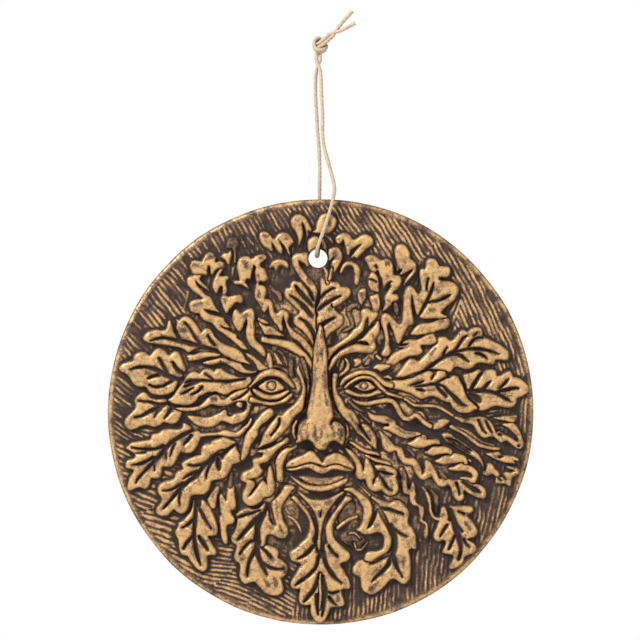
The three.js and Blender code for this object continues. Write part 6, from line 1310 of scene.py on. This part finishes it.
# %% Sides and back by extruding the outline
bpy.ops.object.mode_set(mode="EDIT")
bpy.ops.mesh.select_mode(type="EDGE")
bpy.ops.mesh.select_all(action="DESELECT")
bpy.ops.mesh.select_non_manifold()
less, more = 0.3 * BACK_BEVEL, 0.7 * BACK_BEVEL
reach = RADIUS
for inward, back in ((0, THICKNESS - FRONT_BEVEL - BACK_BEVEL), (less, more), (more, less)):
    bpy.ops.mesh.extrude_edges_move(TRANSFORM_OT_translate={"value": (0, back * MM, 0)})
    shrink = (reach - inward) / reach
    bpy.ops.transform.resize(value=(shrink, 1, shrink), center_override=DISC_MIDDLE)
    reach -= inward
bpy.ops.mesh.fill()
bpy.ops.mesh.select_all(action="SELECT")
bpy.ops.mesh.normals_make_consistent(inside=False)
bpy.ops.object.mode_set(mode="OBJECT")
print("closed mesh of", len(mesh.polygons), "faces")

# %% [markdown]
# The hole flares a little at both mouths, so its cutter is turned to that profile. A boolean
# modifier cuts it cleanly through all that is carved round it.

# %% Bore the hole
BEYOND = 4
BORE_SIDES = 64
WIDE = HOLE_RADIUS + HOLE_FLARE
NARROW = HOLE_RADIUS + 0.25
hole_profile = [
    [WIDE, BEYOND], [WIDE, 0.2], [NARROW, 0.2 - HOLE_FLARE], [HOLE_RADIUS, -HOLE_FLARE - 0.8],
    [HOLE_RADIUS, 1.0 + HOLE_FLARE - THICKNESS], [NARROW, HOLE_FLARE * 0.6 - THICKNESS],
    [WIDE, -0.2 - THICKNESS], [WIDE, -THICKNESS - BEYOND],
]
bore_points = []
bore_faces = []
for r, y in hole_profile:
    for k in range(BORE_SIDES):
        turn = 2 * math.pi * k / BORE_SIDES
        bore_points.append([HOLE_X + r * math.cos(turn), y, HOLE_Z + r * math.sin(turn)])
for row in range(len(hole_profile) - 1):
    for k in range(BORE_SIDES):
        a, b = row * BORE_SIDES + k, row * BORE_SIDES + (k + 1) % BORE_SIDES
        bore_faces.append((a, b, b + BORE_SIDES, a + BORE_SIDES))
bore_faces.append(tuple(range(BORE_SIDES))[::-1])
bore_faces.append(tuple(range(len(bore_points) - BORE_SIDES, len(bore_points))))
bore_mesh = bpy.data.meshes.new("bore")
bore_mesh.from_pydata(to_frame(bore_points).tolist(), [], bore_faces)
bore = bpy.data.objects.new("bore", bore_mesh)
scene.collection.objects.link(bore)
bpy.context.view_layer.objects.active = bore
bpy.ops.object.select_all(action="DESELECT")
bore.select_set(True)
bpy.ops.object.mode_set(mode="EDIT")
bpy.ops.mesh.select_all(action="SELECT")
bpy.ops.mesh.normals_make_consistent(inside=False)
bpy.ops.object.mode_set(mode="OBJECT")

bpy.context.view_layer.objects.active = plaque
cut = plaque.modifiers.new("bore", "BOOLEAN")
cut.operation = "DIFFERENCE"
cut.solver = "MANIFOLD"
cut.object = bore
bpy.ops.object.modifier_apply(modifier=cut.name)
bpy.data.objects.remove(bore)
print("bored:", len(plaque.data.polygons), "faces")

# %% [markdown]
# Plain ground needs fewer faces than a vein does. A decimate modifier takes them away where the
# form is flat, and keeps the plaque light enough to serve in a library.

# %% Fewer faces
TRIANGLES = 196000
triangles = sum(len(face.vertices) - 2 for face in plaque.data.polygons)
thin = plaque.modifiers.new("thin", "DECIMATE")
thin.ratio = TRIANGLES / triangles
bpy.ops.object.modifier_apply(modifier=thin.name)
mesh = plaque.data
mesh.polygons.foreach_set("use_smooth", [True] * len(mesh.polygons))
print("from", triangles, "triangles to", len(mesh.polygons), "faces")

# %% [markdown]
# Two values are kept at every point for the material: how much gold the rag left there, and how
# deep the point lies under its surroundings. The second is the height less a blurred height, and the
# material paints shade into hollows with it. The sides took a little gold, and the back, which nobody
# sees, took none.

# %% Gold, and depth for painted shade, at every point
BLUR = 2.2
SHADE_DEPTH_RANGE = 3
EDGE_MIDDLE, EDGE_REACH, EDGE_GOLD = 0.9, 2.0, 0.85
FRONT_SLACK, BORE_SLACK = 0.3, 0.1
SIDE_GOLD, SIDE_SHADE_DEPTH = 0.3, 0.4
BARE = -0.6
waves = np.fft.fftfreq(GRID, STEP)
keep = np.exp(-2 * (np.pi * BLUR) ** 2 * (waves[:, None] ** 2 + waves[None, :] ** 2))
relief = height - np.real(np.fft.ifft2(np.fft.fft2(height) * keep))

x, y, z = ((read_points(mesh) - np.array(DISC_MIDDLE)) / MM).T
on_front = y < FRONT_SLACK - THICKNESS + FRONT_BEVEL
to_edge = RADIUS - np.hypot(x, z)
edge_band = np.clip(1 - np.abs(to_edge - EDGE_MIDDLE) / EDGE_REACH, 0, 1)
gilding = np.where(on_front, np.maximum(sample(gold, x, z), EDGE_GOLD * edge_band), SIDE_GOLD)
gilding = np.where(y > -BACK_BEVEL, BARE, gilding)
gilding = np.where(np.hypot(x - HOLE_X, z - HOLE_Z) < HOLE_RADIUS + BORE_SLACK, 0, gilding)
# Depth under the blurred surroundings; the material darkens hollows with it as painted shade.
depth = np.clip(0.5 - sample(relief, x, z) / SHADE_DEPTH_RANGE, 0, 1)
depth = np.where(on_front, depth, SIDE_SHADE_DEPTH)
for name, values in (("gilding", gilding), ("depth", depth)):
    layer = mesh.attributes.new(name, "FLOAT", "POINT")
    layer.data.foreach_set("value", values.astype(np.float32))
print("gilded share:", round(float((gilding[on_front] > 0.5).mean()), 2))

# %% [markdown]
# The finish is built from two shared effects, so that they serve on other carved things too.
# "Rubbed gold" turns the gilding value into a mask with ragged edges, thin patches and pin holes,
# and a wider trace where only a brown breath of it stuck. The helpers come first, since every
# material uses them.

# %% Shared effect: rubbed gold
def new_group(name, inputs, outputs):
    """A shader node group with float or colour inputs and outputs; gives its tree and ends."""
    tree = bpy.data.node_groups.new(name, "ShaderNodeTree")
    for label, kind, value in inputs:
        socket = tree.interface.new_socket(label, in_out="INPUT", socket_type=kind)
        if value is not None:
            socket.default_value = value
    for label, kind in outputs:
        tree.interface.new_socket(label, in_out="OUTPUT", socket_type=kind)
    return tree, tree.nodes.new("NodeGroupInput"), tree.nodes.new("NodeGroupOutput")


def put(tree, value, socket):
    """Link a socket to an input, or set a number or a colour there."""
    if isinstance(value, (int, float)):
        socket.default_value = value
    elif isinstance(value, tuple):
        socket.default_value = (*value, 1)
    else:
        tree.links.new(value, socket)


def noise(tree, vector, scale, detail, rough=0.55):
    """A noise texture on a vector; gives its value socket, about 0.5."""
    node = tree.nodes.new("ShaderNodeTexNoise")
    for label, value in (("Vector", vector), ("Scale", scale), ("Detail", detail), ("Roughness", rough)):
        put(tree, value, node.inputs[label])
    return node.outputs["Fac"]


def arith(tree, operation, *values):
    """A math node; gives its result."""
    node = tree.nodes.new("ShaderNodeMath")
    node.operation = operation
    for k, value in enumerate(values):
        put(tree, value, node.inputs[k])
    return node.outputs[0]


def ramp(tree, value, start, end, low=0.0, high=1.0):
    """A smooth step of a value between two bounds."""
    node = tree.nodes.new("ShaderNodeMapRange")
    node.interpolation_type = "SMOOTHSTEP"
    for label, number in (("From Min", start), ("From Max", end), ("To Min", low), ("To Max", high)):
        node.inputs[label].default_value = number
    tree.links.new(value, node.inputs["Value"])
    return node.outputs[0]


def blend(tree, share, first, second):
    """A mix of two colours, each a socket or a colour. The node has other sockets for other kinds."""
    node = tree.nodes.new("ShaderNodeMix")
    node.data_type = "RGBA"
    for socket, value in zip(MIX_COLOUR_INPUTS, (share, first, second)):
        put(tree, value, node.inputs[socket])
    return node.outputs[MIX_COLOUR_OUTPUT]


MIX_COLOUR_INPUTS = (0, 6, 7)
MIX_COLOUR_OUTPUT = 2
FLOAT, COLOR, VECTOR = "NodeSocketFloat", "NodeSocketColor", "NodeSocketVector"
rubbed, given, result = new_group(
    "Rubbed gold",
    [("Vector", VECTOR, None), ("Gilding", FLOAT, 0.5), ("Wear", FLOAT, 0.3), ("Patch size", FLOAT, 0.004)],
    [("Mask", FLOAT), ("Trace", FLOAT)],
)
PATCH_RANGE, SPECK_RANGE = (0.42, 0.74), (0.48, 0.72)
MASK_RANGE, TRACE_RANGE = (0.28, 0.72), (-0.03, 0.3)
FINER = 6.0
per_metre = arith(rubbed, "DIVIDE", 1.0, given.outputs["Patch size"])
patches = noise(rubbed, given.outputs["Vector"], per_metre, detail=4)
finer = arith(rubbed, "MULTIPLY", per_metre, FINER)
specks = noise(rubbed, given.outputs["Vector"], finer, detail=2, rough=0.7)
loss = arith(rubbed, "ADD", ramp(rubbed, patches, *PATCH_RANGE), ramp(rubbed, specks, *SPECK_RANGE))
worn_off = arith(rubbed, "MULTIPLY", loss, given.outputs["Wear"])
left_over = arith(rubbed, "SUBTRACT", given.outputs["Gilding"], worn_off)
rubbed.links.new(ramp(rubbed, left_over, *MASK_RANGE), result.inputs["Mask"])
rubbed.links.new(ramp(rubbed, left_over, *TRACE_RANGE), result.inputs["Trace"])
print("group inputs:", [s.name for s in rubbed.interface.items_tree if s.in_out == "INPUT"])

# %% [markdown]
# "Old gold" is the colour of the gold, which is duller and browner in blots. It is a group of its
# own, because the colour of a metal paste has nothing to do with where it stuck.

# %% Shared effect: old gold
old_gold, given, result = new_group(
    "Old gold",
    [
        ("Vector", VECTOR, None), ("Bright", COLOR, (0.62, 0.4, 0.15, 1)),
        ("Dull", COLOR, (0.3, 0.19, 0.1, 1)), ("Blot size", FLOAT, 0.006),
    ],
    [("Color", COLOR), ("Dullness", FLOAT)],
)
blot_scale = arith(old_gold, "DIVIDE", 1.0, given.outputs["Blot size"])
blots = noise(old_gold, given.outputs["Vector"], blot_scale, detail=5, rough=0.72)
dullness = ramp(old_gold, blots, start=0.43, end=0.66)
colour = blend(old_gold, dullness, given.outputs["Bright"], given.outputs["Dull"])
old_gold.links.new(colour, result.inputs["Color"])
old_gold.links.new(dullness, result.inputs["Dullness"])
print("group outputs:", [s.name for s in old_gold.interface.items_tree if s.in_out == "OUTPUT"])

# %% [markdown]
# The clay's material reads the two kept values and the Object coordinates. Its gold is a paste, so
# it shines only as far as a rubbed metal paint does.

# %% Bronzed clay
def new_material(name):
    """A material with its tree, its Principled BSDF and the Object coordinates."""
    material = bpy.data.materials.new(name)
    material.use_nodes = True
    tree = material.node_tree
    coordinates = tree.nodes.new("ShaderNodeTexCoord")
    return material, tree, tree.nodes["Principled BSDF"], coordinates.outputs["Object"]


def attribute(tree, name):
    """A kept value of the mesh, as a socket."""
    node = tree.nodes.new("ShaderNodeAttribute")
    node.attribute_name = name
    return node.outputs["Fac"]


def use_group(tree, group, **inputs):
    """A group node with its inputs linked or set; spaces in their names are written as _."""
    node = tree.nodes.new("ShaderNodeGroup")
    node.node_tree = group
    for label, value in inputs.items():
        put(tree, value, node.inputs[label.replace("_", " ")])
    return node


def add_bump(tree, shader, form, distance, strength):
    """A bump of a distance in mm."""
    bump = tree.nodes.new("ShaderNodeBump")
    bump.inputs["Distance"].default_value = distance * MM
    bump.inputs["Strength"].default_value = strength
    tree.links.new(form, bump.inputs["Height"])
    tree.links.new(bump.outputs["Normal"], shader.inputs["Normal"])


GOLD_BRIGHT = (0.63, 0.385, 0.16)
GOLD_DULL = (0.32, 0.185, 0.09)
BROWN = (0.165, 0.096, 0.052)
STAIN = (0.026, 0.014, 0.009)
STAIN_DUSTY = (0.080, 0.047, 0.030)
GOLD_METALLIC = 0.3
STAIN_ROUGH, GOLD_ROUGH = 0.6, 0.4
clay, tree, shader, where = new_material("bronzed_clay")
gilt = use_group(
    tree, rubbed, Vector=where, Gilding=attribute(tree, "gilding"), Wear=0.5, Patch_size=0.005
)
mask = gilt.outputs["Mask"]
gold_colour = use_group(
    tree, old_gold, Vector=where, Bright=GOLD_BRIGHT, Dull=GOLD_DULL, Blot_size=0.0028
)
# Painted shade: deep points lose the dusty tone and take the darkest stain.
hollow_shade = ramp(tree, attribute(tree, "depth"), start=0.45, end=0.8)
dust_and_hollow_shade = ramp(tree, noise(tree, where, scale=420, detail=3), start=0.35, end=0.75)
dust_and_hollow_shade = arith(tree, "MULTIPLY", dust_and_hollow_shade, arith(tree, "SUBTRACT", 1.0, hollow_shade))
stain = blend(tree, dust_and_hollow_shade, STAIN, STAIN_DUSTY)
browned = blend(tree, gilt.outputs["Trace"], stain, BROWN)
tree.links.new(blend(tree, mask, browned, gold_colour.outputs["Color"]), shader.inputs["Base Color"])
tree.links.new(arith(tree, "MULTIPLY", mask, GOLD_METALLIC), shader.inputs["Metallic"])
roughness = ramp(tree, mask, start=0.0, end=1.0, low=STAIN_ROUGH, high=GOLD_ROUGH)
tree.links.new(roughness, shader.inputs["Roughness"])
shader.inputs["Specular IOR Level"].default_value = 0.3
coarse = noise(tree, where, scale=900, detail=4, rough=0.6)
fine = noise(tree, where, scale=2600, detail=2, rough=0.6)
add_bump(tree, shader, arith(tree, "ADD", coarse, fine), distance=0.12, strength=0.6)
plaque.data.materials.clear()
plaque.data.materials.append(clay)
print("nodes in the clay:", len(tree.nodes))

# %% [markdown]
# Jute is pale and matt, with long fibres. The fibres are noise that is stretched along the UV map.
# Both its colour and its bump use them, and the grooves between the plies are real, in the mesh.

# %% Jute
JUTE_DARK = (0.36, 0.25, 0.15)
JUTE_LIGHT = (0.68, 0.55, 0.40)
FIBRE_STRETCH = (1.2, 14, 1)
jute, tree, shader, where = new_material("jute")
uv_node = tree.nodes.new("ShaderNodeUVMap")
uv_node.uv_map = "fibres"
stretch = tree.nodes.new("ShaderNodeMapping")
stretch.inputs["Scale"].default_value = FIBRE_STRETCH
tree.links.new(uv_node.outputs["UV"], stretch.inputs["Vector"])
fibres = noise(tree, stretch.outputs["Vector"], scale=2.2, detail=4, rough=0.7)
pale_share = ramp(tree, fibres, start=0.32, end=0.7)
jute_colour = blend(tree, pale_share, JUTE_DARK, JUTE_LIGHT)
tree.links.new(jute_colour, shader.inputs["Base Color"])
shader.inputs["Roughness"].default_value = 0.85
add_bump(tree, shader, fibres, distance=0.15, strength=0.7)
for twine in (front_twine, back_twine):
    twine.data.materials.append(jute)
print("nodes in the jute:", len(tree.nodes))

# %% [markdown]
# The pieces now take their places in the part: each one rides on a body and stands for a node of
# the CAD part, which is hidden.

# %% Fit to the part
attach(plaque, "root")
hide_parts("plaque")
for twine, line in ((front_twine, front_line), (back_twine, back_line)):
    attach(twine, "root")
    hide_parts("hanging_twine")
